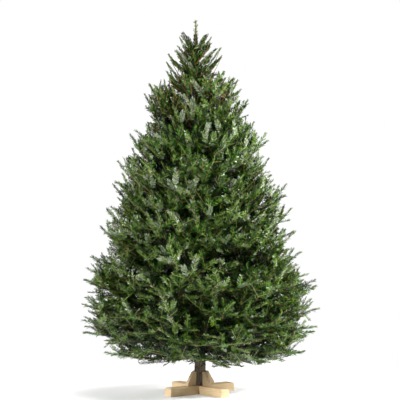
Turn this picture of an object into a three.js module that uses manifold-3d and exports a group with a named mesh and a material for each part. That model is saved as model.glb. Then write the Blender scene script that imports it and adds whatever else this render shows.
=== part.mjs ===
// A cut fir sold as a Christmas tree, two metres tall, on a plain half-lapped wooden cross.
// Units are millimetres and degrees. +Z is up, -Y is the front, and the origin is the middle of
// the cross's underside, on the floor.
//
// The trunk runs whole from its flat cut to the tip of the leader. Boughs leave it in eight tiers.
// Each bough carries one mass of needles: a stem, a slim core where the foliage is dense, and flat
// sprays of needles that branch from the stem by a seeded rule, fused on. Every mass keeps to the
// space that lies nearer to its own bough than to any other.

import * as THREE from 'three';
import { mergeVertices } from 'three/addons/utils/BufferGeometryUtils.js';
import Module from 'manifold-3d';

const wasm = await Module();
wasm.setup();

const UP = new THREE.Vector3(0, 0, 1);
const GAP = 0.3; // clearance between two pieces that touch
const SEED = 24;

// ---------------------------------------------------------------- driving dimensions

const TREE_TOP = 2000;

const STAND = { span: 430, width: 56, height: 44, turn: 38, chamfer: 8 };
const CLEAT = { foot: 58, height: 74, toe: 14, crest: 20, thickness: 22 };

const TRUNK = {
  foot: STAND.height + GAP,
  buttRadius: 31,
  tipRadius: 2.6,
  taper: 0.9,
  swell: 4, // extra radius at the cut, which dies away over swellHeight
  swellHeight: 45,
  lean: [-22, 12], // how far the tip stands from the foot, in x and y
  sway: 5, // a slight bow of the stem to either side
  sides: 12,
  rings: 14,
};

// How far the furthest tips stand from the trunk's line: [height, radius at -X, radius at +X].
const CROWN_OUTLINE = [
  [150, 220, 240],
  [185, 430, 480],
  [225, 520, 575],
  [340, 632, 632],
  [470, 640, 648],
  [600, 632, 635],
  [730, 580, 550],
  [880, 536, 515],
  [1000, 490, 504],
  [1115, 456, 477],
  [1250, 425, 388],
  [1385, 356, 380],
  [1450, 300, 295],
  [1590, 288, 262],
  [1670, 240, 210],
  [1770, 171, 135],
  [1850, 125, 112],
  [1920, 85, 58],
  [2000, 12, 12],
];
const CROWN_FLOOR = 150; // no foliage hangs lower

// The tiers from the lowest to the highest: the height at the trunk, how many boughs, the angle
// above the horizon at the trunk and at the tip, and whether the bare limb is a piece of its own.
const TIERS = [
  { height: 310, count: 5, rise: -5, tipRise: 6, limb: true },
  { height: 475, count: 5, rise: 3, tipRise: 18, limb: true },
  { height: 675, count: 5, rise: 10, tipRise: 29, limb: true },
  { height: 895, count: 5, rise: 17, tipRise: 36, limb: false },
  { height: 1120, count: 5, rise: 24, tipRise: 42, limb: false },
  { height: 1335, count: 4, rise: 31, tipRise: 45, limb: false },
  { height: 1545, count: 4, rise: 36, tipRise: 47, limb: false },
  { height: 1755, count: 4, rise: 42, tipRise: 52, limb: false },
];
const TIER_TURN = 36; // each tier is turned by this much against the one below

const BOUGH = {
  steps: 10,
  thickness: 0.017, // radius at the trunk, as a share of the length
  tipRadius: 1.8,
  taper: 1.15, // the limb is down to its tip's radius at 1 / taper of its length
  limbShare: 0.3, // the bare limb's share of the whole bough
  limbSides: 6,
  turnJitter: 7,
  heightJitter: 16,
  leastReach: 0.95, // how far the shortest bough reaches, as a share of the outline's radius
  fittingRounds: 12,
};
const STEM = { sides: 3, steps: 3, intoCore: 0.1, longestBare: 0.5 };

// A spray is a flat blade with forward-pointing teeth, each tooth standing for a few shoots. Its
// root is sunk in the stem, and a long one starts with a bare stretch of twig.
const SPRAY = {
  twigShare: 0.26, // the bare twig's share of a long spray
  teethBeyond: [130, 235], // lengths from which a spray has 2 and then 3 teeth to a side
  width: 0.56, // as a share of the length
  widthAtRoot: 1.15, // how the teeth's reach runs from root to tip
  widthAtTip: 0.65,
  thickness: 6,
  rootRadius: 3.6,
  valley: 0.36, // how deep the teeth are cut, as a share of the half width
  sweep: 0.12, // how far a tooth's point stands ahead of its root
  fittingShares: [1, 0.8, 0.6], // a spray that leaves its space is tried again at these lengths
};

// Where sprays leave the stem: one at the tip, pairs at the sides, and pairs above and below at
// all but the first station. Lengths grow with the distance from the tip.
const END_SPRAY = { longest: 210, share: 0.8 };
const SIDE_SPRAY = {
  spacing: 215,
  first: 0.65,
  spread: [44, 56],
  lift: [-4, 14],
  roll: [15, 50],
  growth: [0.7, 0.81],
  shortest: 40,
  longest: 290,
};
const RISER = { offset: 12, spread: [38, 52], roll: [20, 90], growth: 0.5, shortest: 70, longest: 190 };
const FOLIAGE_FROM = { limb: 0.34, trunk: 0.2 }; // the share of the bough that is bare
const CORE = { from: 0.36, to: 0.84, width: 0.1, thickness: 0.08, sides: 5, rings: 3, bough: 200 };
const ROOM = 3; // what a spray keeps from the edge of its mass's space

// ---------------------------------------------------------------- small helpers

const radians = THREE.MathUtils.degToRad;

/** A repeatable stream of numbers from 0 to 1. */
function seeded(seed) {
  let state = seed >>> 0;
  return () => {
    state = (state + 0x6d2b79f5) >>> 0;
    let t = state;
    t = Math.imul(t ^ (t >>> 15), t | 1);
    t ^= t + Math.imul(t ^ (t >>> 7), t | 61);
    return ((t ^ (t >>> 14)) >>> 0) / 4294967296;
  };
}

/** A draw between the two ends of a range. */
const within = (draw, [low, high]) => low + (high - low) * draw();

/** The closed geometry as a solid that can be joined and cut. */
function solidOf(geometry) {
  const bare = geometry.clone();
  bare.deleteAttribute('normal');
  bare.deleteAttribute('uv');
  const merged = mergeVertices(bare, 1e-4);
  const triangles = [];
  for (let i = 0; i < merged.index.count; i += 3) {
    const [a, b, c] = [0, 1, 2].map((k) => merged.index.getX(i + k));
    if (a !== b && b !== c && c !== a) triangles.push(a, b, c);
  }
  return new wasm.Manifold(
    new wasm.Mesh({
      numProp: 3,
      vertProperties: merged.attributes.position.array,
      triVerts: new Uint32Array(triangles),
    }),
  );
}

/** The solid as a geometry. */
function geometryOf(solid) {
  const mesh = solid.getMesh();
  const geometry = new THREE.BufferGeometry();
  geometry.setAttribute('position', new THREE.BufferAttribute(mesh.vertProperties, 3));
  geometry.setIndex(new THREE.BufferAttribute(mesh.triVerts, 1));
  geometry.computeVertexNormals();
  return geometry;
}

/** All the solids as one. */
const joined = (solids) => solids.reduce((whole, solid) => whole.add(solid));

/** The solid's one main body, without the loose scraps and sealed hollows that joining leaves. */
function mainBody(solid) {
  const bodies = solid.decompose();
  return bodies.reduce((best, body) => (body.volume() > best.volume() ? body : best));
}

/** The point a share of the way along a run of evenly spaced points. */
function pointAt(points, share) {
  const place = THREE.MathUtils.clamp(share, 0, 1) * (points.length - 1);
  const index = Math.min(Math.floor(place), points.length - 2);
  return points[index].clone().lerp(points[index + 1], place - index);
}

/** The direction a share of the way along a run of points. */
function directionAt(points, share) {
  const step = 1 / (points.length - 1);
  return pointAt(points, share + step / 2)
    .sub(pointAt(points, share - step / 2))
    .normalize();
}

/** Two directions square to `along`: one level across it, and one that is up from it. */
function crossways(along) {
  const level = new THREE.Vector3().crossVectors(along, UP);
  if (level.length() < 0.05) level.set(1, 0, 0);
  level.normalize();
  return { level, lifted: new THREE.Vector3().crossVectors(level, along).normalize() };
}

/** A limb with flat ends that follows the points, with a radius at each of them. */
function limbGeometry(points, radii, sides) {
  const steps = points.length - 1;
  const geometry = new THREE.CylinderGeometry(1, 1, 1, sides, steps);
  const position = geometry.attributes.position;
  const vertex = new THREE.Vector3();
  for (let i = 0; i < position.count; i++) {
    vertex.fromBufferAttribute(position, i);
    const step = Math.round((0.5 - vertex.y) * steps);
    const { level, lifted } = crossways(directionAt(points, step / steps));
    const place = points[step]
      .clone()
      .addScaledVector(level, vertex.x * radii[step])
      .addScaledVector(lifted, -vertex.z * radii[step]);
    position.setXYZ(i, place.x, place.y, place.z);
  }
  return geometry;
}

/** A mesh with a name, a colour and a finish. */
function piece(name, geometry, material) {
  const mesh = new THREE.Mesh(geometry, material);
  mesh.name = name;
  return mesh;
}

// ---------------------------------------------------------------- materials

const bark = new THREE.MeshStandardMaterial({ color: 0x6b5a49, roughness: 0.9, metalness: 0 });
const needles = new THREE.MeshStandardMaterial({ color: 0x43592c, roughness: 0.55, metalness: 0 });
const timber = new THREE.MeshStandardMaterial({ color: 0xc8a878, roughness: 0.7, metalness: 0 });

// ---------------------------------------------------------------- trunk

/** The share of the trunk's height at z, from 0 at the cut to 1 at the tip. */
const trunkShare = (z) => (z - TRUNK.foot) / (TREE_TOP - TRUNK.foot);

/** The middle of the trunk at height z. */
function trunkCentre(z) {
  const share = trunkShare(z);
  const bow = TRUNK.sway * Math.sin(2 * Math.PI * share);
  return new THREE.Vector3(TRUNK.lean[0] * share + bow, TRUNK.lean[1] * share - bow, z);
}

/** The trunk's radius at height z. */
function trunkRadius(z) {
  const share = THREE.MathUtils.clamp(trunkShare(z), 0, 1);
  const taper = (TRUNK.buttRadius - TRUNK.tipRadius) * (1 - share) ** TRUNK.taper;
  return TRUNK.tipRadius + taper + TRUNK.swell * Math.exp((TRUNK.foot - z) / TRUNK.swellHeight);
}

/** The trunk, with every radius grown by `extra`. */
function trunkSolid(extra) {
  const profile = [new THREE.Vector2(0, TRUNK.foot - extra)];
  for (let i = 0; i <= TRUNK.rings; i++) {
    const share = (i / TRUNK.rings) ** 1.25; // rings are closer together near the butt
    const z = THREE.MathUtils.lerp(TRUNK.foot, TREE_TOP, share);
    profile.push(new THREE.Vector2(trunkRadius(z) + extra, i === 0 ? z - extra : z));
  }
  profile.push(new THREE.Vector2(0, TREE_TOP + extra));
  const geometry = new THREE.LatheGeometry(profile, TRUNK.sides);
  geometry.rotateX(Math.PI / 2);
  const position = geometry.attributes.position;
  for (let i = 0; i < position.count; i++) {
    const centre = trunkCentre(position.getZ(i));
    position.setX(i, position.getX(i) + centre.x);
    position.setY(i, position.getY(i) + centre.y);
  }
  return solidOf(geometry);
}

const trunkSpace = trunkSolid(GAP);

// ---------------------------------------------------------------- stand

/** One beam of the cross, along X, with its half-lap notch in the top or in the underside. */
function beamGeometry(notchOnTop) {
  const half = STAND.span / 2;
  const notch = STAND.width / 2 + GAP;
  const lap = STAND.height / 2 + (notchOnTop ? -GAP / 2 : GAP / 2);
  const side = new THREE.Shape();
  side.moveTo(-half, 0);
  if (!notchOnTop) {
    side.lineTo(-notch, 0);
    side.lineTo(-notch, lap);
    side.lineTo(notch, lap);
    side.lineTo(notch, 0);
  }
  side.lineTo(half, 0);
  side.lineTo(half, STAND.height - STAND.chamfer);
  side.lineTo(half - STAND.chamfer, STAND.height);
  if (notchOnTop) {
    side.lineTo(notch, STAND.height);
    side.lineTo(notch, lap);
    side.lineTo(-notch, lap);
    side.lineTo(-notch, STAND.height);
  }
  side.lineTo(STAND.chamfer - half, STAND.height);
  side.lineTo(-half, STAND.height - STAND.chamfer);
  const geometry = new THREE.ExtrudeGeometry(side, { depth: STAND.width, bevelEnabled: false });
  geometry.rotateX(Math.PI / 2);
  geometry.translate(0, STAND.width / 2, 0);
  return geometry;
}

/** A cleat that stands on a beam and holds the trunk, turned about the trunk by `turn` degrees. */
function cleatGeometry(turn) {
  const foot = TRUNK.buttRadius + CLEAT.foot;
  const base = STAND.height + GAP;
  const side = new THREE.Shape();
  side.moveTo(0, base);
  side.lineTo(foot, base);
  side.lineTo(foot, base + CLEAT.toe);
  side.lineTo(TRUNK.buttRadius + CLEAT.crest, base + CLEAT.height);
  side.lineTo(0, base + CLEAT.height);
  const geometry = new THREE.ExtrudeGeometry(side, { depth: CLEAT.thickness, bevelEnabled: false });
  geometry.rotateX(Math.PI / 2);
  geometry.translate(0, CLEAT.thickness / 2, 0);
  geometry.rotateZ(radians(turn));
  return geometryOf(solidOf(geometry).subtract(trunkSpace));
}

/** The cross with its four cleats. */
function stand() {
  const cross = new THREE.Group();
  const lower = piece('stand_beam_lower', beamGeometry(true), timber);
  const upper = piece('stand_beam_upper', beamGeometry(false), timber);
  lower.rotation.z = radians(STAND.turn);
  upper.rotation.z = radians(STAND.turn + 90);
  cross.add(lower, upper);
  for (let i = 0; i < 4; i++) {
    cross.add(piece(`stand_cleat_${i + 1}`, cleatGeometry(STAND.turn + 90 * i), timber));
  }
  return cross;
}

// ---------------------------------------------------------------- boughs

/** How far a point stands from the trunk's line, and how far the crown reaches on its side. */
function standing(point) {
  const centre = trunkCentre(point.z);
  const [x, y] = [point.x - centre.x, point.y - centre.y];
  const out = Math.hypot(x, y);
  const z = THREE.MathUtils.clamp(point.z, CROWN_OUTLINE[0][0], TREE_TOP - 1);
  const above = CROWN_OUTLINE.findIndex(([height]) => height > z);
  const [low, high] = CROWN_OUTLINE.slice(above - 1, above + 1);
  const [left, right] = [1, 2].map((side) =>
    THREE.MathUtils.mapLinear(z, low[0], high[0], low[side], high[side]),
  );
  return { out, reach: THREE.MathUtils.mapLinear(x / Math.max(out, 1), -1, 1, left, right) };
}

/** A bough's line from the middle of the trunk, of that length, bending from rise to tipRise. */
function boughLine(height, azimuth, rise, tipRise, length) {
  const points = [trunkCentre(height)];
  for (let i = 0; i < BOUGH.steps; i++) {
    const share = (i + 0.5) / BOUGH.steps;
    const slope = radians(rise + (tipRise - rise) * share);
    const step = new THREE.Vector3(
      Math.cos(azimuth) * Math.cos(slope),
      Math.sin(azimuth) * Math.cos(slope),
      Math.sin(slope),
    );
    points.push(points[i].clone().addScaledVector(step, length / BOUGH.steps));
  }
  return points;
}

/** Every bough of the tree, each with its line and its length, which ends on the crown's outline. */
function allBoughs() {
  const draw = seeded(SEED);
  const boughs = [];
  TIERS.forEach((tier, level) => {
    for (let i = 0; i < tier.count; i++) {
      const jitter = within(draw, [-BOUGH.turnJitter, BOUGH.turnJitter]);
      const azimuth = radians((360 * i) / tier.count + TIER_TURN * level + jitter);
      const height = tier.height + within(draw, [-BOUGH.heightJitter, BOUGH.heightJitter]);
      const reach = within(draw, [BOUGH.leastReach, 1]);
      let length = (TREE_TOP - height) / 2;
      let points = [];
      for (let round = 0; round < BOUGH.fittingRounds; round++) {
        points = boughLine(height, azimuth, tier.rise, tier.tipRise, length);
        const tip = standing(points.at(-1));
        length *= (tip.reach * reach) / tip.out;
      }
      const name = `tier${level + 1}_${i + 1}`;
      boughs.push({ name, points, length, limb: tier.limb, seed: SEED + 100 * level + i });
    }
  });
  return boughs;
}

const boughs = allBoughs();

/** A bough's radius a share of the way along it. */
function boughRadius(bough, share) {
  const thick = Math.max(bough.length * BOUGH.thickness, 2 * BOUGH.tipRadius);
  return THREE.MathUtils.lerp(thick, BOUGH.tipRadius, Math.min(share * BOUGH.taper, 1));
}

/** The stretch of a bough between two shares of it, as a tapering limb. */
function boughStretch(bough, from, to, steps, sides) {
  const shares = Array.from({ length: steps + 1 }, (_, i) =>
    THREE.MathUtils.lerp(from, to, i / steps),
  );
  const points = shares.map((share) => pointAt(bough.points, share));
  const radii = shares.map((share) => boughRadius(bough, share));
  return solidOf(limbGeometry(points, radii, sides));
}

// ---------------------------------------------------------------- masses of needles

/** The distance from a point to a bough's line. */
function distanceToBough(point, bough) {
  const nearest = new THREE.Vector3();
  let least = Infinity;
  for (let i = 1; i < bough.points.length; i++) {
    new THREE.Line3(bough.points[i - 1], bough.points[i]).closestPointToPoint(point, true, nearest);
    least = Math.min(least, nearest.distanceTo(point));
  }
  return least;
}

/** Whether all the points lie in the bough's own space: inside the crown, and nearest to it. */
function inOwnSpace(points, bough) {
  return points.every((point) => {
    const { out, reach } = standing(point);
    if (point.z < CROWN_FLOOR || out > reach + ROOM) return false;
    if (out < trunkRadius(point.z) + ROOM) return false;
    const own = distanceToBough(point, bough) + 2 * ROOM;
    return boughs.every((other) => other === bough || distanceToBough(point, other) > own);
  });
}

/**
 * A spray of needles: a flat blade with forward-pointing teeth, which is thick along its rib.
 * `across` is square to `along`, in the blade's plane.
 * Returns its geometry and the points that it reaches.
 */
function spray(root, along, across, length) {
  const normal = new THREE.Vector3().crossVectors(along, across);
  const teeth = 1 + SPRAY.teethBeyond.filter((limit) => length > limit).length;
  const twig = teeth > 2 ? length * SPRAY.twigShare : 0;
  const leafy = length - twig;
  const halfWidth = (leafy * SPRAY.width) / 2;
  const at = (distance, side, lift) =>
    root
      .clone()
      .addScaledVector(along, distance)
      .addScaledVector(across, side)
      .addScaledVector(normal, lift);
  const tip = at(length, 0, 0);
  const reached = [tip];
  const corners = [];
  for (const side of [-1, 1]) {
    for (const lift of [-1, 1]) {
      const add = (a, b, c) => corners.push(...(side === lift ? [a, b, c] : [a, c, b]));
      let rib = at(0, 0, lift * SPRAY.rootRadius);
      let rim = at(0, side * SPRAY.rootRadius, 0);
      const moveTo = (nextRib, nextRim) => {
        add(rib, nextRib, nextRim);
        add(rib, nextRim, rim);
        [rib, rim] = [nextRib, nextRim];
      };
      add(root, rib, rim);
      if (twig > 0) {
        moveTo(at(twig, 0, lift * SPRAY.rootRadius), at(twig, side * SPRAY.rootRadius, 0));
      }
      for (let tooth = 1; tooth <= teeth; tooth++) {
        const share = tooth / (teeth + 1);
        const slimming = THREE.MathUtils.lerp(SPRAY.widthAtRoot, SPRAY.widthAtTip, share);
        const width = side * halfWidth * slimming;
        const point = at(twig + leafy * (share + SPRAY.sweep), width, 0);
        const valley = at(twig + leafy * share, width * SPRAY.valley, 0);
        add(rim, valley, point);
        moveTo(at(twig + leafy * share, 0, (lift * SPRAY.thickness) / 2), valley);
        reached.push(point);
      }
      add(rib, tip, rim);
    }
  }
  return { geometry: new THREE.BufferGeometry().setFromPoints(corners), reached };
}

/** Adds a spray of that length to the solids, shorter if its space needs it, or none. */
function addSpray(solids, bough, root, along, roll, length) {
  const { level, lifted } = crossways(along);
  const across = level
    .multiplyScalar(Math.cos(radians(roll)))
    .addScaledVector(lifted, Math.sin(radians(roll)));
  for (const share of SPRAY.fittingShares) {
    const made = spray(root, along, across, length * share);
    if (inOwnSpace(made.reached, bough)) {
      solids.push(solidOf(made.geometry));
      return;
    }
  }
}

/** The dense inside of a mass: a flattened spindle that follows the bough. */
function coreSolid(bough) {
  const geometry = new THREE.SphereGeometry(1, CORE.sides, CORE.rings);
  const position = geometry.attributes.position;
  const vertex = new THREE.Vector3();
  for (let i = 0; i < position.count; i++) {
    vertex.fromBufferAttribute(position, i);
    const share = THREE.MathUtils.mapLinear(vertex.y, -1, 1, CORE.from, CORE.to);
    const { level, lifted } = crossways(directionAt(bough.points, share));
    const place = pointAt(bough.points, share)
      .addScaledVector(level, -vertex.z * bough.length * CORE.width)
      .addScaledVector(lifted, vertex.x * bough.length * CORE.thickness);
    position.setXYZ(i, place.x, place.y, place.z);
  }
  return solidOf(geometry);
}

/** The direction at `spread` to one side of `along`, lifted by `lift`, both in degrees. */
function turned(along, aside, spread, lift) {
  return along
    .clone()
    .multiplyScalar(Math.cos(radians(spread)))
    .addScaledVector(aside, Math.sin(radians(spread)))
    .addScaledVector(UP, Math.sin(radians(lift)))
    .normalize();
}

/** Adds the sprays that leave the stem at that distance from its tip. */
function addStation(solids, bough, fromTip, withRisers, draw) {
  const share = 1 - fromTip / bough.length;
  const root = pointAt(bough.points, share);
  const along = directionAt(bough.points, share);
  const { level, lifted } = crossways(along);
  for (const side of [-1, 1]) {
    const aside = level.clone().multiplyScalar(side);
    const spread = within(draw, SIDE_SPRAY.spread);
    const outwards = turned(along, aside, spread, within(draw, SIDE_SPRAY.lift));
    const roll = within(draw, SIDE_SPRAY.roll) * (draw() < 0.5 ? -1 : 1);
    const length = fromTip * within(draw, SIDE_SPRAY.growth) + SIDE_SPRAY.shortest;
    addSpray(solids, bough, root, outwards, roll, Math.min(length, SIDE_SPRAY.longest));
  }
  if (!withRisers) return;
  for (const side of [-1, 1]) {
    const start = root.clone().addScaledVector(along, side * RISER.offset);
    const aside = lifted.clone().multiplyScalar(side);
    const outwards = turned(along, aside, within(draw, RISER.spread), 0);
    const length = Math.min(fromTip * RISER.growth + RISER.shortest, RISER.longest);
    addSpray(solids, bough, start, outwards, within(draw, RISER.roll), length);
  }
}

/** The mass of needles that one bough carries. */
function massSolid(bough) {
  const draw = seeded(bough.seed);
  const { length, points, limb } = bough;
  const endShare = 1 - Math.min(END_SPRAY.longest, length * END_SPRAY.share) / length;
  const dense = length > CORE.bough;
  const stemFrom = limb ? BOUGH.limbShare + GAP / length : 0;
  const stemTo = dense ? CORE.from + STEM.intoCore : Math.max(endShare, STEM.longestBare);
  const solids = [boughStretch(bough, stemFrom, stemTo, dense ? 1 : STEM.steps, STEM.sides)];
  if (dense) solids.push(coreSolid(bough));

  const endRoot = pointAt(points, endShare);
  const outward = points.at(-1).clone().sub(endRoot);
  const endLength = outward.length();
  addSpray(solids, bough, endRoot, outward.normalize(), 0, endLength);

  const leafyLength = length * (1 - (limb ? FOLIAGE_FROM.limb : FOLIAGE_FROM.trunk));
  const stations = Math.max(1, Math.round(length / SIDE_SPRAY.spacing));
  for (let station = 0; station < stations; station++) {
    const fromTip = (leafyLength * (station + SIDE_SPRAY.first)) / stations;
    addStation(solids, bough, fromTip, station > 0 || stations === 1, draw);
  }
  const whole = joined(solids);
  return mainBody(limb ? whole : whole.subtract(trunkSpace));
}

// ---------------------------------------------------------------- the tree

const tree = new THREE.Group();
tree.add(stand());
tree.add(piece('trunk', geometryOf(trunkSolid(0)), bark));
for (const bough of boughs) {
  if (bough.limb) {
    const limb = boughStretch(bough, 0, BOUGH.limbShare, STEM.steps, BOUGH.limbSides);
    tree.add(piece(`bough_${bough.name}`, geometryOf(limb.subtract(trunkSpace)), bark));
  }
  tree.add(piece(`needle_mass_${bough.name}`, geometryOf(massSolid(bough)), needles));
}

export default tree;
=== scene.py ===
"""A cut fir on its wooden cross, dressed over its frame.

Lengths are in metres and angles in degrees, in the frame's own axes: +Z is up, -Y is the front, and
the origin is the middle of the cross's underside. The boughs are set out by the same rule and the
same seeded draws as the frame's own, and then carried on into finer twigs, needles and buds.
"""

import logging
import math
from dataclasses import dataclass, field
from enum import Enum

import bmesh
import bpy
import numpy as np
from mathutils import Matrix, Vector, noise


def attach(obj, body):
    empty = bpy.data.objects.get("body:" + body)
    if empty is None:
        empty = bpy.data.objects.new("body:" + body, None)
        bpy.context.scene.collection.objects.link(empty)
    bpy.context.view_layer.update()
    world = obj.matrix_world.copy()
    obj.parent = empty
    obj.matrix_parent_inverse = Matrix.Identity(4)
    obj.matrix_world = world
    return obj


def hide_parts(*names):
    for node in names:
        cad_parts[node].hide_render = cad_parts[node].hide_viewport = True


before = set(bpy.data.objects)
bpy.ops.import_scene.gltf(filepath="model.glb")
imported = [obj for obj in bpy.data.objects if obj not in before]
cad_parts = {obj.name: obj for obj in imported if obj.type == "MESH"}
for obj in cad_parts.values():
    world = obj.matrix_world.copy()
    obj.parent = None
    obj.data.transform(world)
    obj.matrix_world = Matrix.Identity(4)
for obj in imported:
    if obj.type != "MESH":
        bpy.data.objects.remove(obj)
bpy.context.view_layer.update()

log = logging.getLogger("christmas_tree")

Array = np.ndarray
Colour = tuple[float, float, float, float]
Span = tuple[float, float]

BODY = "root"
GAP = 0.0003  # clearance between two pieces that touch
LEAST = 0.001  # the least distance that counts
SEED = 24
UPRIGHT = 0.05  # a direction this near to the vertical, by its sine, counts as upright
UP = np.array([0.0, 0.0, 1.0])
WHITE = (1.0, 1.0, 1.0, 1.0)


# ---------------------------------------------------------------- small helpers


def unit(vector: Array) -> Array:
    """The vector, or each row of an array of them, at a length of one."""
    return vector / np.linalg.norm(vector, axis=-1, keepdims=True)


def linear(colour: str) -> Colour:
    """Blender's linear colour for a display colour of six hexadecimal digits."""
    parts = [int(colour[i : i + 2], 16) / 255 for i in (0, 2, 4)]
    return (*(p / 12.92 if p <= 0.04045 else ((p + 0.055) / 1.055) ** 2.4 for p in parts), 1.0)


def circle(count: int, first: float = 0.0) -> Array:
    """The angles of points evenly round a circle, the first some share of a step from zero."""
    return (np.arange(count) + first) * 2 * math.pi / count


def point_at(points: Array, share: float) -> Array:
    """The point a share of the way along a run of evenly spaced points.

    Args:
        points: One point to a row.
        share: From 0 at the first point to 1 at the last.

    Returns:
        The point.
    """
    place = min(max(share, 0.0), 1.0) * (len(points) - 1)
    index = min(int(place), len(points) - 2)
    return points[index] + (points[index + 1] - points[index]) * (place - index)


def crossways(along: Array) -> tuple[Array, Array]:
    """Two directions square to a third.

    Args:
        along: A vector of length one.

    Returns:
        The level direction across it, and the direction that is up from it.
    """
    level = np.cross(along, UP)
    if np.linalg.norm(level) < UPRIGHT:
        level = np.array([1.0, 0.0, 0.0])
    level = unit(level)
    return level, unit(np.cross(level, along))


def place_object(name: str, data: bpy.types.ID) -> bpy.types.Object:
    """Puts an object in the scene.

    Args:
        name: The object's name.
        data: Its mesh, light or camera.

    Returns:
        The object.
    """
    made = bpy.data.objects.new(name, data)
    bpy.context.scene.collection.objects.link(made)
    return made


def place_body(name: str, body: bmesh.types.BMesh) -> bpy.types.Object:
    """Puts a body that is being edited in the scene, and ends its editing.

    Args:
        name: The object's name.
        body: The body.

    Returns:
        The object.
    """
    mesh = bpy.data.meshes.new(name)
    body.to_mesh(mesh)
    body.free()
    return place_object(name, mesh)


class SeededStream:
    """A repeatable stream of numbers from 0 to 1, the one that the frame's boughs are set out by."""

    MASK = 0xFFFFFFFF

    def __init__(self, seed: int) -> None:
        """Starts the stream from any whole number."""
        self.state = seed & self.MASK

    def draw(self) -> float:
        """Mixes the state's bits.

        Returns:
            The next number.
        """
        self.state = (self.state + 0x6D2B79F5) & self.MASK
        t = self.state
        t = ((t ^ (t >> 15)) * (t | 1)) & self.MASK
        t ^= (t + (((t ^ (t >> 7)) * (t | 61)) & self.MASK)) & self.MASK
        return (t ^ (t >> 14)) / 4294967296

    def within(self, low: float, high: float) -> float:
        """A draw between low and high."""
        return low + (high - low) * self.draw()


# ---------------------------------------------------------------- finishes


class Bench:
    """Makes and joins the nodes of one node tree, which it empties first."""

    def __init__(self, tree: bpy.types.NodeTree) -> None:
        """Starts on a node tree."""
        self.tree = tree
        tree.nodes.clear()

    def feed(self, socket: bpy.types.NodeSocket, value: object) -> None:
        """Sets an input socket, or links an output to it.

        Args:
            socket: The input socket.
            value: A plain value, or an output socket.
        """
        if isinstance(value, bpy.types.NodeSocket):
            self.tree.links.new(value, socket)
        else:
            socket.default_value = value

    def join(self, node: bpy.types.Node, **inputs: object) -> None:
        """Feeds a node's inputs by their names, with _ for a space."""
        for name, value in inputs.items():
            self.feed(node.inputs[name.replace("_", " ")], value)

    def node(
        self, kind: str, settings: dict | None = None, *values: object, **inputs: object
    ) -> bpy.types.Node:
        """Adds a node.

        Args:
            kind: Blender's name for the kind of node, without its ShaderNode prefix.
            settings: Values for the node's own properties.
            *values: Values or output sockets for its first inputs, in their order.
            **inputs: The same for inputs by their names, with _ for a space.

        Returns:
            The node.
        """
        made = self.tree.nodes.new(kind if kind.startswith("Node") else f"ShaderNode{kind}")
        for name, value in (settings or {}).items():
            setattr(made, name, value)
        for socket, value in zip(made.inputs, values):
            self.feed(socket, value)
        self.join(made, **inputs)
        return made

    def math(self, operation: str, *values: object) -> bpy.types.NodeSocket:
        """The result of a sum on values or sockets."""
        return self.node("Math", {"operation": operation}, *values).outputs[0]

    def vector(self, operation: str, *values: object) -> bpy.types.NodeSocket:
        """The result of a sum on vectors."""
        made = self.node("VectorMath", {"operation": operation}, *values)
        return made.outputs["Value" if operation == "LENGTH" else "Vector"]

    def mixed(self, factor: object, first: object, second: object) -> bpy.types.NodeSocket:
        """Mixes two colours.

        Args:
            factor: The share of the second colour, as a value or a socket.
            first: A colour or a socket.
            second: A colour or a socket.

        Returns:
            The output socket with the mixed colour.
        """
        mix = self.node("Mix", {"data_type": "RGBA"}, factor)
        for socket, colour in zip([s for s in mix.inputs if s.type == "RGBA"], (first, second)):
            self.feed(socket, colour)
        return next(s for s in mix.outputs if s.type == "RGBA")

    def bump(self, height: object, relief: float, strength: float) -> bpy.types.NodeSocket:
        """The normal of a surface with a relief of that many metres."""
        return self.node("Bump", Height=height, Distance=relief, Strength=strength).outputs[0]

    def effect(self, name: str, **inputs: object) -> dict[str, bpy.types.NodeSocket]:
        """Places a shared effect, and gives its outputs by their names."""
        placed = self.node("Group", {"node_tree": bpy.data.node_groups[name]}, **inputs)
        return {socket.name: socket for socket in placed.outputs}

    def place(self) -> bpy.types.NodeSocket:
        """The place on the object."""
        return self.node("TexCoord").outputs["Object"]


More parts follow.
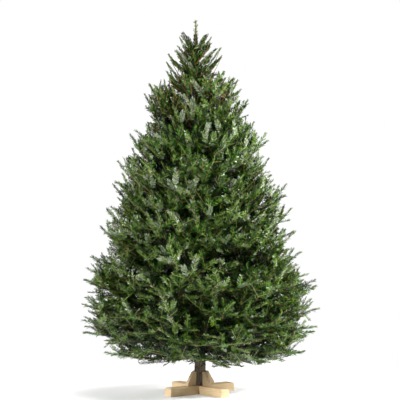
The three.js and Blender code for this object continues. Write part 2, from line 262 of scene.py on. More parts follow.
class Effects:
    """The shader groups that several finishes share, each built once."""

    def start(
        self, name: str, inputs: dict[str, object], outputs: dict[str, object]
    ) -> tuple[Bench, dict[str, bpy.types.NodeSocket]]:
        """Starts a group with named sockets.

        Args:
            name: The group's name.
            inputs: A default for each input socket; its type says what kind of socket it is.
            outputs: The same for each output socket.

        Returns:
            A bench on the group's tree, and what comes in, by name.
        """
        tree = bpy.data.node_groups.new(name, "ShaderNodeTree")
        for way, sockets in (("INPUT", inputs), ("OUTPUT", outputs)):
            for label, default in sockets.items():
                kind = "NodeSocketColor" if isinstance(default, tuple) else "NodeSocketFloat"
                socket = tree.interface.new_socket(label, in_out=way, socket_type=kind)
                socket.default_value = default
        bench = Bench(tree)
        given = bench.node("NodeGroupInput").outputs
        return bench, {label: given[label] for label in inputs}

    def drift(self) -> None:
        """A colour that drifts lighter and darker over the surface."""
        bench, given = self.start(
            "tone drift",
            {"Colour": WHITE, "Drift": 0.3, "Scale": 20.0},
            {"Colour": WHITE},
        )
        patches = bench.node("TexNoise", Vector=bench.place(), Scale=given["Scale"], Detail=3.0)
        gain = bench.node(
            "MapRange",
            Value=patches.outputs["Fac"],
            From_Min=0.3,
            From_Max=0.7,
            To_Min=bench.math("SUBTRACT", 1.0, given["Drift"]),
            To_Max=bench.math("ADD", 1.0, given["Drift"]),
        )
        scaled = {"operation": "SCALE"}
        lit = bench.node("VectorMath", scaled, given["Colour"], Scale=gain.outputs["Result"])
        bench.node("NodeGroupOutput", Colour=lit.outputs["Vector"])

    def bark(self) -> None:
        """Fir bark: fine lengthwise cracks, blisters, and a mask of the cracks."""
        crack_width, crack_depth = 0.09, 0.6
        bench, given = self.start(
            "bark skin", {"Scale": 60.0, "Stretch": 0.25}, {"Height": 0.0, "Cracks": 0.0}
        )
        place, scale = bench.place(), given["Scale"]
        squeeze = bench.node("CombineXYZ", X=1.0, Y=1.0, Z=given["Stretch"]).outputs[0]
        drawn = bench.vector("MULTIPLY", place, squeeze)
        edges = {"feature": "DISTANCE_TO_EDGE"}
        cells = bench.node("TexVoronoi", edges, Vector=drawn, Scale=scale)
        cracks = bench.node(
            "MapRange", Value=cells.outputs["Distance"], From_Max=crack_width, To_Min=1.0, To_Max=0.0
        ).outputs["Result"]
        grit = bench.node("TexNoise", Vector=place, Scale=scale, Detail=6.0, Roughness=0.65)
        height = bench.math("MULTIPLY_ADD", cracks, -crack_depth, grit.outputs["Fac"])
        bench.node("NodeGroupOutput", Height=height, Cracks=cracks)

    def grain(self) -> None:
        """Sawn softwood: rings drawn out along the plank, with fine fibres."""
        draw_out, heart = (0.07, 1.0, 1.0), (0.0, 0.03, 0.06)
        waviness, edge, darkest = 3.0, 2.5, 0.65
        bench, given = self.start(
            "softwood grain",
            {"Light": WHITE, "Dark": WHITE, "Turn": 0.0, "Ring Spacing": 0.006},
            {"Colour": WHITE, "Height": 0.0},
        )
        about = {"rotation_type": "Z_AXIS"}
        turned = bench.node("VectorRotate", about, Vector=bench.place(), Angle=given["Turn"])
        drawn = bench.vector("MULTIPLY", turned.outputs[0], draw_out)
        wander = bench.node("TexNoise", Vector=drawn, Scale=28.0, Detail=2.0).outputs["Fac"]
        split = bench.node("SeparateXYZ", Vector=bench.vector("ADD", drawn, heart)).outputs
        flat = bench.node("CombineXYZ", Y=split["Y"], Z=split["Z"]).outputs[0]
        rings = bench.math("DIVIDE", bench.vector("LENGTH", flat), given["Ring Spacing"])
        phase = bench.math("FRACT", bench.math("MULTIPLY_ADD", wander, waviness, rings))
        fibres = bench.node("TexNoise", Vector=drawn, Scale=900.0, Detail=2.0).outputs["Fac"]
        streak = bench.node("MapRange", Value=fibres, To_Min=-0.12, To_Max=0.3).outputs["Result"]
        dark = {"operation": "MULTIPLY_ADD", "use_clamp": True}
        share = bench.node("Math", dark, bench.math("POWER", phase, edge), darkest, streak)
        colour = bench.mixed(share.outputs[0], given["Light"], given["Dark"])
        bench.node("NodeGroupOutput", Colour=colour, Height=share.outputs[0])

    def build(self) -> None:
        """Builds every shared effect."""
        for effect in (self.drift, self.bark, self.grain):
            effect()


@dataclass(frozen=True)
class Finish:
    """What every finish has."""

    name: str
    roughness: float

    def material(self) -> bpy.types.Material:
        """The finish's material, which is built the first time that it is asked for.

        Returns:
            The material.
        """
        material = bpy.data.materials.get(self.name)
        if not material:
            material = bpy.data.materials.new(self.name)
            material.use_nodes = True
            bench = Bench(material.node_tree)
            shader = bench.node("BsdfPrincipled", Roughness=self.roughness)
            bench.node("OutputMaterial", Surface=shader.outputs["BSDF"])
            self.dress(bench, shader)
        return material

    def dress(self, bench: Bench, shader: bpy.types.Node) -> None:
        """Feeds the shader with what the finish adds; a plain finish adds nothing."""


@dataclass(frozen=True)
class NeedleFinish(Finish):
    """Waxy needles: green above, and paler with silvery bands below."""

    upper: str
    under: str
    drift: float = 0.7
    drift_scale: float = 150.0
    gloss: float = 0.45

    def dress(self, bench: Bench, shader: bpy.types.Node) -> None:
        """Feeds the shader a colour for each side.

        Args:
            bench: A bench on the material.
            shader: Its shader.
        """
        above = bench.effect(
            "tone drift", Colour=linear(self.upper), Drift=self.drift, Scale=self.drift_scale
        )
        side = bench.node("NewGeometry").outputs["Backfacing"]
        colour = bench.mixed(side, above["Colour"], linear(self.under))
        bench.join(shader, Base_Color=colour, Specular_IOR_Level=self.gloss)


@dataclass(frozen=True)
class BarkFinish(Finish):
    """Bark, from the rough skin of the trunk to the smooth skin of a young twig."""

    colour: str
    crack: str
    scale: float
    stretch: float
    relief: float
    drift: float = 0.25

    def dress(self, bench: Bench, shader: bpy.types.Node) -> None:
        """Feeds the shader a drifting tone with darker cracks, and their relief.

        Args:
            bench: A bench on the material.
            shader: Its shader.
        """
        skin = bench.effect("bark skin", Scale=self.scale, Stretch=self.stretch)
        tone = bench.effect(
            "tone drift", Colour=linear(self.colour), Drift=self.drift, Scale=self.scale / 4
        )
        colour = bench.mixed(skin["Cracks"], tone["Colour"], linear(self.crack))
        normal = bench.bump(skin["Height"], self.relief, strength=0.8)
        bench.join(shader, Base_Color=colour, Normal=normal)


@dataclass(frozen=True)
class TimberFinish(Finish):
    """Planed softwood, with its grain along one direction on the plan."""

    turn: float
    light: str = "d8bf98"
    dark: str = "b3905f"
    relief: float = 0.0005

    def dress(self, bench: Bench, shader: bpy.types.Node) -> None:
        """Feeds the shader the grain's colours and relief.

        Args:
            bench: A bench on the material.
            shader: Its shader.
        """
        turn = math.radians(-self.turn)
        grain = bench.effect(
            "softwood grain", Light=linear(self.light), Dark=linear(self.dark), Turn=turn
        )
        tone = bench.effect("tone drift", Colour=grain["Colour"], Drift=0.1, Scale=14.0)
        normal = bench.bump(grain["Height"], self.relief, strength=0.5)
        bench.join(shader, Base_Color=tone["Colour"], Normal=normal)


@dataclass(frozen=True)
class SteelFinish(Finish):
    """Zinc on steel."""

    colour: str

    def dress(self, bench: Bench, shader: bpy.types.Node) -> None:
        """Feeds the shader a slightly cloudy metal."""
        tone = bench.effect("tone drift", Colour=linear(self.colour), Drift=0.15, Scale=400.0)
        bench.join(shader, Base_Color=tone["Colour"], Metallic=1.0)


@dataclass(frozen=True)
class FloorFinish(Finish):
    """A pale floor that fades out round its middle."""

    colour: Colour
    fade: Span

    def dress(self, bench: Bench, shader: bpy.types.Node) -> None:
        """Feeds the shader its colour and how much of the floor shows.

        Args:
            bench: A bench on the material.
            shader: Its shader.
        """
        near, far = self.fade
        shown = bench.node(
            "MapRange",
            {"interpolation_type": "SMOOTHSTEP"},
            Value=bench.vector("LENGTH", bench.place()),
            From_Min=near,
            From_Max=far,
            To_Min=1.0,
            To_Max=0.0,
        )
        bench.join(shader, Base_Color=self.colour, Alpha=shown.outputs["Result"])


class Tint(Enum):
    """The colours that needles are dealt, by spray, from the darkest to the palest."""

    SHADED = 0
    DEEP = 1
    GREEN = 2
    OLIVE = 3
    BRIGHT = 4
    SILVER = 5


# needles_shaded, the darkest, is dealt mostly inside the crown as painted shade; the paler tints are
# dealt at the tips, partly as painted light.
NEEDLE_FINISHES = {
    Tint.SHADED: NeedleFinish("needles_shaded", 0.5, "0a1801", "122204"),
    Tint.DEEP: NeedleFinish("needles_deep", 0.32, "143c00", "2a500e"),
    Tint.GREEN: NeedleFinish("needles_green", 0.26, "286200", "487e2a"),
    Tint.OLIVE: NeedleFinish("needles_olive", 0.26, "4a7e00", "729c42"),
    Tint.BRIGHT: NeedleFinish("needles_bright", 0.24, "6c921c", "94ae68"),
    Tint.SILVER: NeedleFinish("needles_silver", 0.24, "88a07a", "b4c2ac"),
}
TRUNK_BARK = BarkFinish("trunk_bark", 0.88, "6f6254", "352b22", 55.0, 0.3, 0.0012)
LIMB_BARK = BarkFinish("limb_bark", 0.85, "6b5c4c", "3b2f24", 140.0, 0.5, 0.0005)
YOUNG_LIMB = BarkFinish("young_limb_bark", 0.75, "8c602e", "684422", 220.0, 0.5, 0.0003)
# The old twigs' dark bark is also painted shade on every twig inside the crown.
OLD_AND_SHADED_TWIG = BarkFinish("old_twig_and_painted_shade_bark", 0.8, "443622", "33261a", 260.0, 0.6, 0.0002)
YEAR_TWIG = BarkFinish("last_year_twig_bark", 0.7, "a2703e", "7a522a", 320.0, 0.6, 0.0001)
NEW_TWIG = BarkFinish("new_twig_bark", 0.62, "a8a24c", "86803a", 380.0, 0.6, 0.0001)
BUD_SCALES = BarkFinish("bud_scales", 0.45, "7a4f2c", "4a2c17", 700.0, 1.0, 0.0001)
NAIL_ZINC = SteelFinish("nail_zinc", 0.38, "9a9c9e")


# ---------------------------------------------------------------- pieces and meshes


def fit_out(
    piece: bpy.types.Object, finishes: list[Finish], replaced: list[str] | None = None
) -> None:
    """Gives a piece its materials, ties it to the frame and reports it.

    Args:
        piece: The piece.
        finishes: Its finishes, in the order of their indices.
        replaced: The frame's nodes that it stands for.
    """
    for finish in finishes:
        piece.data.materials.append(finish.material())
    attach(piece, BODY)
    if replaced:
        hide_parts(*replaced)
    log.info("%s: %d faces", piece.name, len(piece.data.polygons))


@dataclass
class Skin:
    """Vertices and triangles that are gathered up and then made into one piece."""

    points: list[Array] = field(default_factory=list)
    faces: list[Array] = field(default_factory=list)
    finishes: list[Array] = field(default_factory=list)
    count: int = 0

    def add(self, points: Array, faces: Array, finishes: Array | int = 0) -> None:
        """Adds a patch.

        Args:
            points: One vertex to a row.
            faces: Three indices into points to a row.
            finishes: The finish's index, for each face or for all.
        """
        self.points.append(points)
        self.faces.append(faces + self.count)
        self.finishes.append(np.broadcast_to(np.asarray(finishes), (len(faces),)))
        self.count += len(points)

    def add_all(self, corners: Array, pattern: Array, finishes: Array | int = 0) -> None:
        """Adds many small shapes of one make.

        Args:
            corners: The vertices of each shape.
            pattern: Three indices into a shape's own vertices to a row.
            finishes: The finish's index, for each shape or for all.
        """
        total, step, _ = corners.shape
        faces = pattern[None] + step * np.arange(total)[:, None, None]
        own = np.repeat(np.broadcast_to(np.asarray(finishes), (total,)), len(pattern))
        self.add(corners.reshape(-1, 3), faces.reshape(-1, 3), own)

    def piece(self, name: str, smooth: bool = True) -> bpy.types.Object:
        """Makes the gathered patches into one object.

        Args:
            name: The piece's name.
            smooth: Whether its faces are shaded smoothly.

        Returns:
            The object, in the scene.
        """
        points = np.concatenate(self.points).astype(np.float32)
        faces = np.concatenate(self.faces).astype(np.int32)
        finishes = np.concatenate(self.finishes).astype(np.int32)
        mesh = bpy.data.meshes.new(name)
        mesh.vertices.add(len(points))
        mesh.vertices.foreach_set("co", points.ravel())
        mesh.loops.add(faces.size)
        mesh.loops.foreach_set("vertex_index", faces.ravel())
        mesh.polygons.add(len(faces))
        mesh.polygons.foreach_set("loop_start", np.arange(0, faces.size, 3, dtype=np.int32))
        mesh.polygons.foreach_set("material_index", finishes)
        mesh.polygons.foreach_set("use_smooth", np.full(len(faces), smooth))
        mesh.update(calc_edges=True)
        mesh.validate()
        return place_object(name, mesh)


def tube_faces(rings: int, sides: int, closed: bool = True) -> Array:
    """The triangles of a tube.

    Args:
        rings: How many rings of vertices there are.
        sides: How many vertices each ring has.
        closed: Whether its ends are closed, round two more vertices that follow the rings.

    Returns:
        Three indices to a row, which face outwards where the rings turn anticlockwise.
    """
    ring, side = np.meshgrid(np.arange(rings - 1), np.arange(sides), indexing="ij")
    here = (ring * sides + side).ravel()
    beside = (ring * sides + (side + 1) % sides).ravel()
    corners = [(here, beside, beside + sides), (here, beside + sides, here + sides)]
    if closed:
        around = np.arange(sides)
        after = (around + 1) % sides
        last = (rings - 1) * sides
        foot, head = np.full(sides, rings * sides), np.full(sides, rings * sides + 1)
        corners += [(foot, after, around), (head, last + around, last + after)]
    return np.concatenate([np.stack(three, axis=1) for three in corners])


def add_tube(points: Array, radii: Array, sides: int, relief: float, skin: Skin) -> None:
    """Adds a limb that follows the points, closed at both ends, with an uneven skin.

    Args:
        points: One point of its middle line to a row.
        radii: The radius at each point.
        sides: How many sides it has.
        relief: How far the skin stands in and out, as a share of the radius.
        skin: Where it is added.
    """
    grain, finest = 0.6, 0.003
    angles = circle(sides)[:, None]
    rows = []
    for i, (point, radius) in enumerate(zip(points, radii)):
        ahead = points[min(i + 1, len(points) - 1)]
        behind = points[max(i - 1, 0)]
        level, lifted = crossways(unit(ahead - behind))
        for spoke in np.cos(angles) * level + np.sin(angles) * lifted:
            place = Vector(point + spoke * radius)
            bump = noise.noise(place * (grain / max(radius, finest)))
            rows.append(point + spoke * radius * (1 + relief * bump))
    rows += [points[0], points[-1]]
    skin.add(np.array(rows), tube_faces(len(points), sides))


# ---------------------------------------------------------------- trunk


@dataclass
class Trunk:
    """The stem, whole from its flat cut to the tip of the leader."""

    foot: float = 0.044 + GAP
    top: float = 2.0
    butt_radius: float = 0.031
    tip_radius: float = 0.0026
    taper: float = 0.9
    swell: float = 0.004
    swell_height: float = 0.045
    lean: Span = (-0.022, 0.012)
    sway: float = 0.005
    rings: int = 150
    sides: int = 40
    crack_depth: float = 0.05
    crack_scale: Span = (9.0, 34.0)  # round the trunk, and up it
    crack_mean: float = 0.25
    finer_cracks: Span = (0.5, 2.7)  # how deep the finer cracks are, and how much finer
    knot_swell: float = 0.1
    knot_height: float = 0.018
    bark_from: Span = (1.3, 1.56)  # where a limb's bark begins, and where a young limb's does

    def share(self, z: float) -> float:
        """The share of the trunk's height at z, from 0 at the cut to 1 at the tip."""
        return (z - self.foot) / (self.top - self.foot)

    def centre(self, z: float) -> Array:
        """The middle of the trunk at height z.

        Args:
            z: The height.

        Returns:
            The point.
        """
        share = self.share(z)
        bow = self.sway * math.sin(2 * math.pi * share)
        return np.array([self.lean[0] * share + bow, self.lean[1] * share - bow, z])

    def radius(self, z: float) -> float:
        """The trunk's radius at height z.

        Args:
            z: The height.

        Returns:
            The radius, without the relief of the bark.
        """
        share = min(max(self.share(z), 0.0), 1.0)
        taper = (self.butt_radius - self.tip_radius) * (1 - share) ** self.taper
        swell = self.swell * math.exp((self.foot - z) / self.swell_height)
        return self.tip_radius + taper + swell

    def build(self, whorls: list[float]) -> None:
        """Builds the trunk with the relief of its bark.

        Args:
            whorls: The heights at which boughs leave it, where it is a little thicker.
        """
        round_it, up_it = self.crack_scale
        depth, finer = self.finer_cracks
        rows = []
        for z in np.linspace(self.foot, self.top, self.rings):
            centre, radius = self.centre(z), self.radius(z)
            knot = sum(math.exp(-(((z - w) / self.knot_height) ** 2)) for w in whorls)
            for angle in circle(self.sides):
                spoke = Vector((math.cos(angle), math.sin(angle), 0.0))
                place = Vector((spoke.x * round_it, spoke.y * round_it, z * up_it))
                cracks = abs(noise.noise(place)) + depth * noise.noise(place * finer)
                relief = 1 + self.crack_depth * (cracks - self.crack_mean) + self.knot_swell * knot
                rows.append(centre + np.array(spoke) * radius * relief)
        points = np.array([*rows, self.centre(self.foot), self.centre(self.top)])
        faces = tube_faces(self.rings, self.sides)
        skin = Skin()
        skin.add(points, faces, np.digitize(points[faces].mean(axis=1)[:, 2], self.bark_from))
        finishes = [TRUNK_BARK, LIMB_BARK, YOUNG_LIMB]
        fit_out(skin.piece("trunk_and_leader"), finishes, ["trunk"])


# ---------------------------------------------------------------- crown and boughs


@dataclass(frozen=True)
class Tier:
    """A tier of boughs: where it leaves the trunk, and how steeply its boughs rise."""

    height: float
    count: int
    rise: float
    tip_rise: float
    limb: bool


@dataclass(frozen=True)
class SideBoughs:
    """A set of thinner boughs that each of some tiers has.

    lift is the share of the way to the next tier, turn the share of the spacing between two main
    boughs, and reach the shares of the crown's radius. Where a count is given, the set is spread
    evenly from azimuth instead.
    """

    tiers: range
    lift: float
    reach: Span
    turn: float = 0.0
    count: int = 0
    azimuth: float = 0.0
    scatter: float = 10.0


@dataclass(frozen=True)
class LeaderWhorl:
    """A ring of single shoots on the leader."""

    height: float
    count: int
    azimuth: float
    rise: float
    length: float


@dataclass
class Bough:
    """One bough: its middle line from the trunk's, and what it belongs to."""

    tier: int
    index: int
    points: Array
    length: float
    bare_share: float
    thickness: float
    years: int = 0  # where it isn't given by the length
    kept: float = 1.0  # the share of it that has grown
    least: Span = (0.0024, 0.0036)  # the least radius of a single shoot, and of others
    tip_radius: float = 0.0011
    taper: float = 1.15

    def radius(self, share: float) -> float:
        """The bough's radius a share of the way along it."""
        thick = max(self.length * self.thickness, self.least[self.years != 1])
        return thick + (self.tip_radius - thick) * min(share * self.taper, 1.0)


TIERS = (
    Tier(0.310, 5, -5, 6, True),
    Tier(0.475, 5, 3, 18, True),
    Tier(0.675, 5, 10, 29, True),
    Tier(0.895, 5, 17, 36, False),
    Tier(1.120, 5, 24, 42, False),
    Tier(1.335, 4, 31, 45, False),
    Tier(1.545, 4, 36, 47, False),
    Tier(1.755, 4, 42, 52, False),
)
TOP_WHORL = Tier(1.84, 4, 46, 52, False)
TIER_TURN = 36  # each tier is turned by this much against the one below
SIDE_BOUGHS = (
    SideBoughs(range(1, 7), 0.16, (0.88, 0.98), turn=0.5),
    SideBoughs(range(1, 8), 0.5, (0.86, 0.98), turn=0.22),
    SideBoughs(range(3, 7), 0.74, (0.84, 0.97), turn=0.75),
    SideBoughs(range(1, 2), -0.42, (0.82, 0.98), count=9, scatter=12.0),
    SideBoughs(range(1, 2), -0.7, (0.8, 0.97), count=8, azimuth=20.0, scatter=12.0),
)
LEADER_WHORLS = (
    LeaderWhorl(1.822, 5, 200.0, 49.0, 0.122),
    LeaderWhorl(1.775, 4, 230.0, 43.0, 0.135),
    LeaderWhorl(1.735, 6, 20.0, 35.0, 0.150),
    LeaderWhorl(1.690, 7, 45.0, 30.0, 0.165),
)
LEFT_TIPS = (
    0.22, 0.33, 0.39, 0.47, 0.60, 0.67, 0.73, 0.89, 0.985, 1.115, 1.24, 1.385, 1.60, 1.656, 1.72,
    1.769, 1.812, 1.903, 1.93,
)
RIGHT_TIPS = (
    0.22, 0.35, 0.45, 0.57, 0.61, 0.755, 0.865, 0.985, 1.115, 1.255, 1.388, 1.448, 1.565, 1.67, 1.72,
    1.806, 1.844, 1.903,
)
SIDE_TIPS = {180.0: LEFT_TIPS, 0.0: RIGHT_TIPS}  # the heights of the tips that stand out, by azimuth


@dataclass
class Crown:
    """Where the foliage may reach, and the boughs that carry it."""

    trunk: Trunk
    # How far the furthest tips stand from the trunk: height, radius at -X, radius at +X.
    outline: tuple[tuple[float, float, float], ...] = (
        (0.150, 0.220, 0.240),
        (0.185, 0.430, 0.480),
        (0.225, 0.520, 0.575),
        (0.340, 0.632, 0.632),
        (0.470, 0.640, 0.640),
        (0.600, 0.632, 0.626),
        (0.730, 0.580, 0.550),
        (0.880, 0.536, 0.515),
        (1.000, 0.490, 0.504),
        (1.115, 0.456, 0.477),
        (1.250, 0.425, 0.388),
        (1.385, 0.356, 0.380),
        (1.450, 0.300, 0.310),
        (1.540, 0.272, 0.288),
        (1.620, 0.280, 0.268),
        (1.660, 0.248, 0.236),
        (1.695, 0.162, 0.205),
        (1.720, 0.155, 0.150),
        (1.800, 0.158, 0.140),
        (1.850, 0.106, 0.132),
        (1.905, 0.086, 0.080),
        (1.950, 0.060, 0.030),
        (2.000, 0.012, 0.012),
    )
    floor: Span = (0.136, 0.18)  # how low the lowest twigs hang
    steps: int = 10
    fitting_rounds: int = 12
    turn_jitter: float = 7.0
    height_jitter: float = 0.016
    least_reach: float = 0.95
    side_lift: float = 0.06  # jitter of a side bough, as a share of the way to the next tier
    side_rise: Span = (-3.0, 5.0)
    side_tip_rise: Span = (-4.0, 6.0)
    whorl_turn: float = 12.0
    whorl_rise: float = 6.0
    whorl_length: Span = (0.85, 1.08)
    whorl_curve: float = 8.0
    first_try: Span = (0.9, 0.4)  # a bough's foot as a share of its tip's height, and its length
    level_slack: float = 0.02
    tip_scatter: float = 9.0
    tip_reach: float = 0.992
    tip_lift: tuple[Span, Span] = ((0.5, 0.85), (6.0, 22.0))  # heights, and how much steeper there
    single_from: float = 1.75  # above this a bough is a single shoot
    twig_count: int = 130
    twig_heights: Span = (0.21, 1.66)
    twig_reach: Span = (0.3, 0.55)
    twig_rise: Span = (-15.0, 25.0)
    twig_curve: float = 12.0
    # The share of each kind of bough that is bare, and its radius as a share of its length.
    main_make: Span = (0.22, 0.017)
    side_make: Span = (0.15, 0.013)
    whorl_make: Span = (0.0, 0.013)
    tip_make: Span = (0.2, 0.013)
    twig_make: Span = (0.1, 0.016)

    def standing(self, point: Array) -> Span:
        """How a point stands to the crown's outline.

        Args:
            point: The point.

        Returns:
            Its distance from the trunk's line, and how far the crown reaches on its side.
        """
        centre = self.trunk.centre(point[2])
        x, y = point[0] - centre[0], point[1] - centre[1]
        out = math.hypot(x, y)
        heights, left, right = zip(*self.outline)
        z = min(point[2], self.trunk.top - LEAST)
        near_left, near_right = np.interp(z, heights, left), np.interp(z, heights, right)
        share = (x / max(out, LEAST) + 1) / 2
        return out, near_left + (near_right - near_left) * share

    def line(
        self, height: float, azimuth: float, rise: float, tip_rise: float, length: float
    ) -> Array:
        """A bough's middle line, which bends from rise to tip_rise.

        Args:
            height: Where it leaves the trunk's line.
            azimuth: Its direction on the plan, in radians.
            rise: Its angle above the horizon at the trunk.
            tip_rise: The same at its tip.
            length: Its length.

        Returns:
            One point to a row.
        """
        points = [self.trunk.centre(height)]
        for i in range(self.steps):
            slope = math.radians(rise + (tip_rise - rise) * (i + 0.5) / self.steps)
            flat = math.cos(slope)
            step = np.array([math.cos(azimuth) * flat, math.sin(azimuth) * flat, math.sin(slope)])
            points.append(points[-1] + step * length / self.steps)
        return np.array(points)

    def fitted(
        self, height: float, azimuth: float, rise: float, tip_rise: float, reach: float
    ) -> tuple[Array, float]:
        """A bough whose tip stands at a share of the crown's radius.

        Args:
            height: Where it leaves the trunk's line.
            azimuth: Its direction on the plan, in radians.
            rise: Its angle above the horizon at the trunk.
            tip_rise: The same at its tip.
            reach: The share of the crown's radius.

        Returns:
            Its middle line and its length.
        """
        length = (self.trunk.top - height) / 2
        points = np.empty(0)
        for _ in range(self.fitting_rounds):
            points = self.line(height, azimuth, rise, tip_rise, length)
            out, radius = self.standing(points[-1])
            length *= radius * reach / out
        return points, length

    def level(self, height: float) -> int:
        """The index of the last tier that leaves the trunk at or below a height."""
        return max(k for k, tier in enumerate(TIERS) if k == 0 or tier.height <= height)

    def number(self, level: int, azimuth: float) -> int:
        """The number of the tier's mass that is nearest to an azimuth in degrees."""
        spacing = 360 / TIERS[level].count
        return round((azimuth - TIER_TURN * level) / spacing) % TIERS[level].count + 1

    def main_boughs(self) -> list[Bough]:
        """The boughs that the frame's masses hang on, by its own rule and draws.

        Returns:
            The boughs.
        """
        stream = SeededStream(SEED)
        boughs = []
        for level, tier in enumerate(TIERS):
            for i in range(tier.count):
                jitter = stream.within(-self.turn_jitter, self.turn_jitter)
                azimuth = math.radians(360 * i / tier.count + TIER_TURN * level + jitter)
                height = tier.height + stream.within(-self.height_jitter, self.height_jitter)
                reach = stream.within(self.least_reach, 1.0)
                fitted = self.fitted(height, azimuth, tier.rise, tier.tip_rise, reach)
                boughs.append(Bough(level + 1, i + 1, *fitted, *self.main_make))
        return boughs

    def side_bough(self, level: int, row: SideBoughs, i: int, draw: np.random.Generator) -> Bough:
        """One of the thinner boughs that fill the crown between the main ones.

        Args:
            level: The index of its tier.
            row: The set that it belongs to.
            i: Its number in that set, from 0.
            draw: The source of random numbers.

        Returns:
            The bough, with the tier and number of the mass that it belongs to.
        """
        tier = TIERS[level]
        above = (*TIERS, TOP_WHORL)[level + 1]
        azimuth = row.azimuth + i * (360 / (row.count or tier.count))
        azimuth += draw.uniform(-row.scatter, row.scatter)
        if not row.count:
            azimuth += TIER_TURN * level + 360 / tier.count * row.turn
        share = row.lift + draw.uniform(-self.side_lift, self.side_lift)
        height = tier.height + (above.height - tier.height) * share
        rise = tier.rise + (above.rise - tier.rise) * share + draw.uniform(*self.side_rise)
        tip_rise = tier.tip_rise + (above.tip_rise - tier.tip_rise) * share
        tip_rise += draw.uniform(*self.side_tip_rise)
        reach = draw.uniform(*row.reach)
        fitted = self.fitted(height, math.radians(azimuth), rise, tip_rise, reach)
        return Bough(level + 1, self.number(level, azimuth), *fitted, *self.side_make)

    def side_boughs(self, draw: np.random.Generator) -> list[Bough]:
        """The thinner boughs of every set and tier.

        Args:
            draw: The source of random numbers.

        Returns:
            The boughs.
        """
        boughs = []
        for level, tier in enumerate(TIERS):
            for row in SIDE_BOUGHS:
                count = (row.count or tier.count) if level + 1 in row.tiers else 0
                boughs += [self.side_bough(level, row, i, draw) for i in range(count)]
        return boughs

    def leader_whorls(self, draw: np.random.Generator) -> list[Bough]:
        """The single shoots that stand in rings round the leader.

        Args:
            draw: The source of random numbers.

        Returns:
            The shoots, as small boughs.
        """
        shoots = []
        for whorl in LEADER_WHORLS:
            for i in range(whorl.count):
                turn = whorl.azimuth + 360 * i / whorl.count
                turn += draw.uniform(-self.whorl_turn, self.whorl_turn)
                rise = whorl.rise + draw.uniform(-self.whorl_rise, self.whorl_rise)
                length = whorl.length * draw.uniform(*self.whorl_length)
                azimuth, tip_rise = math.radians(turn), rise + self.whorl_curve
                points = self.line(whorl.height, azimuth, rise, tip_rise, length)
                number = i % TIERS[-1].count + 1
                shoots.append(Bough(len(TIERS), number, points, length, *self.whorl_make, 1))
        return shoots

    def bough_to(self, azimuth: float, tip: float, reach: float, lift: float) -> Bough:
        """A bough whose tip stands at a given height.

        Args:
            azimuth: Its direction on the plan, in degrees.
            tip: The height of its tip.
            reach: How far out its tip stands, as a share of the crown's radius there.
            lift: How much steeper than its tier's its tip rises.

        Returns:
            The bough.
        """
        heights, rises, tip_rises = zip(*((t.height, t.rise, t.tip_rise) for t in TIERS))
        foot, length = tip * self.first_try[0], self.first_try[1]
        points = np.empty(0)
        for _ in range(self.fitting_rounds):
            rise = float(np.interp(foot, heights, rises))
            tip_rise = float(np.interp(foot, heights, tip_rises)) + lift
            points = self.line(foot, math.radians(azimuth), rise, tip_rise, length)
            out, radius = self.standing(np.array([*points[-1][:2], tip]))
            length *= radius * reach / out
            foot += tip - points[-1][2]
        level = self.level(foot + self.level_slack)
        years = 1 if tip > self.single_from else 0
        number = self.number(level, azimuth)
        return Bough(level + 1, number, points, length, *self.tip_make, years)

    def tip_boughs(self, draw: np.random.Generator) -> list[Bough]:
        """The boughs whose tips stand out at the two sides of the crown.

        Args:
            draw: The source of random numbers.

        Returns:
            The boughs.
        """
        boughs = []
        for side, tips in SIDE_TIPS.items():
            for tip in tips:
                azimuth = side + draw.uniform(-self.tip_scatter, self.tip_scatter)
                lift = float(np.interp(tip, *self.tip_lift))
                boughs.append(self.bough_to(azimuth, tip, self.tip_reach, lift))
        return boughs

    def trunk_twigs(self, draw: np.random.Generator) -> list[Bough]:
        """The short shaded twigs that stand on the trunk between the whorls.

        Args:
            draw: The source of random numbers.

        Returns:
            The twigs, as small boughs.
        """
        twigs = []
        for height in np.linspace(*self.twig_heights, self.twig_count):
            level = self.level(height)
            azimuth = draw.uniform(0, 2 * math.pi)
            rise = TIERS[level].rise + draw.uniform(*self.twig_rise)
            reach = draw.uniform(*self.twig_reach)
            fitted = self.fitted(height, azimuth, rise, rise + self.twig_curve, reach)
            number = int(draw.integers(1, TIERS[level].count + 1))
            twigs.append(Bough(level + 1, number, *fitted, *self.twig_make))
        return twigs

    def boughs(self, draw: np.random.Generator) -> list[Bough]:
        """Every bough that is set out before anything grows.

        Args:
            draw: The source of random numbers.

        Returns:
            The boughs.
        """
        boughs = self.main_boughs()
        for kind in (self.side_boughs, self.leader_whorls, self.tip_boughs, self.trunk_twigs):
            boughs += kind(draw)
        return boughs


# ---------------------------------------------------------------- growth


@dataclass
class Shoot:
    """One year's growth of a twig, with its needles."""

    start: Array
    end: Array
    up: Array
    age: int
    outward: float
    tier: int
    index: int
    woody: bool


def columns(shoots: list[Shoot], *names: str) -> list[Array]:
    """Some of the shoots' values by name, each as an array with one shoot to a row."""
    return [np.array([getattr(shoot, name) for shoot in shoots]) for name in names]


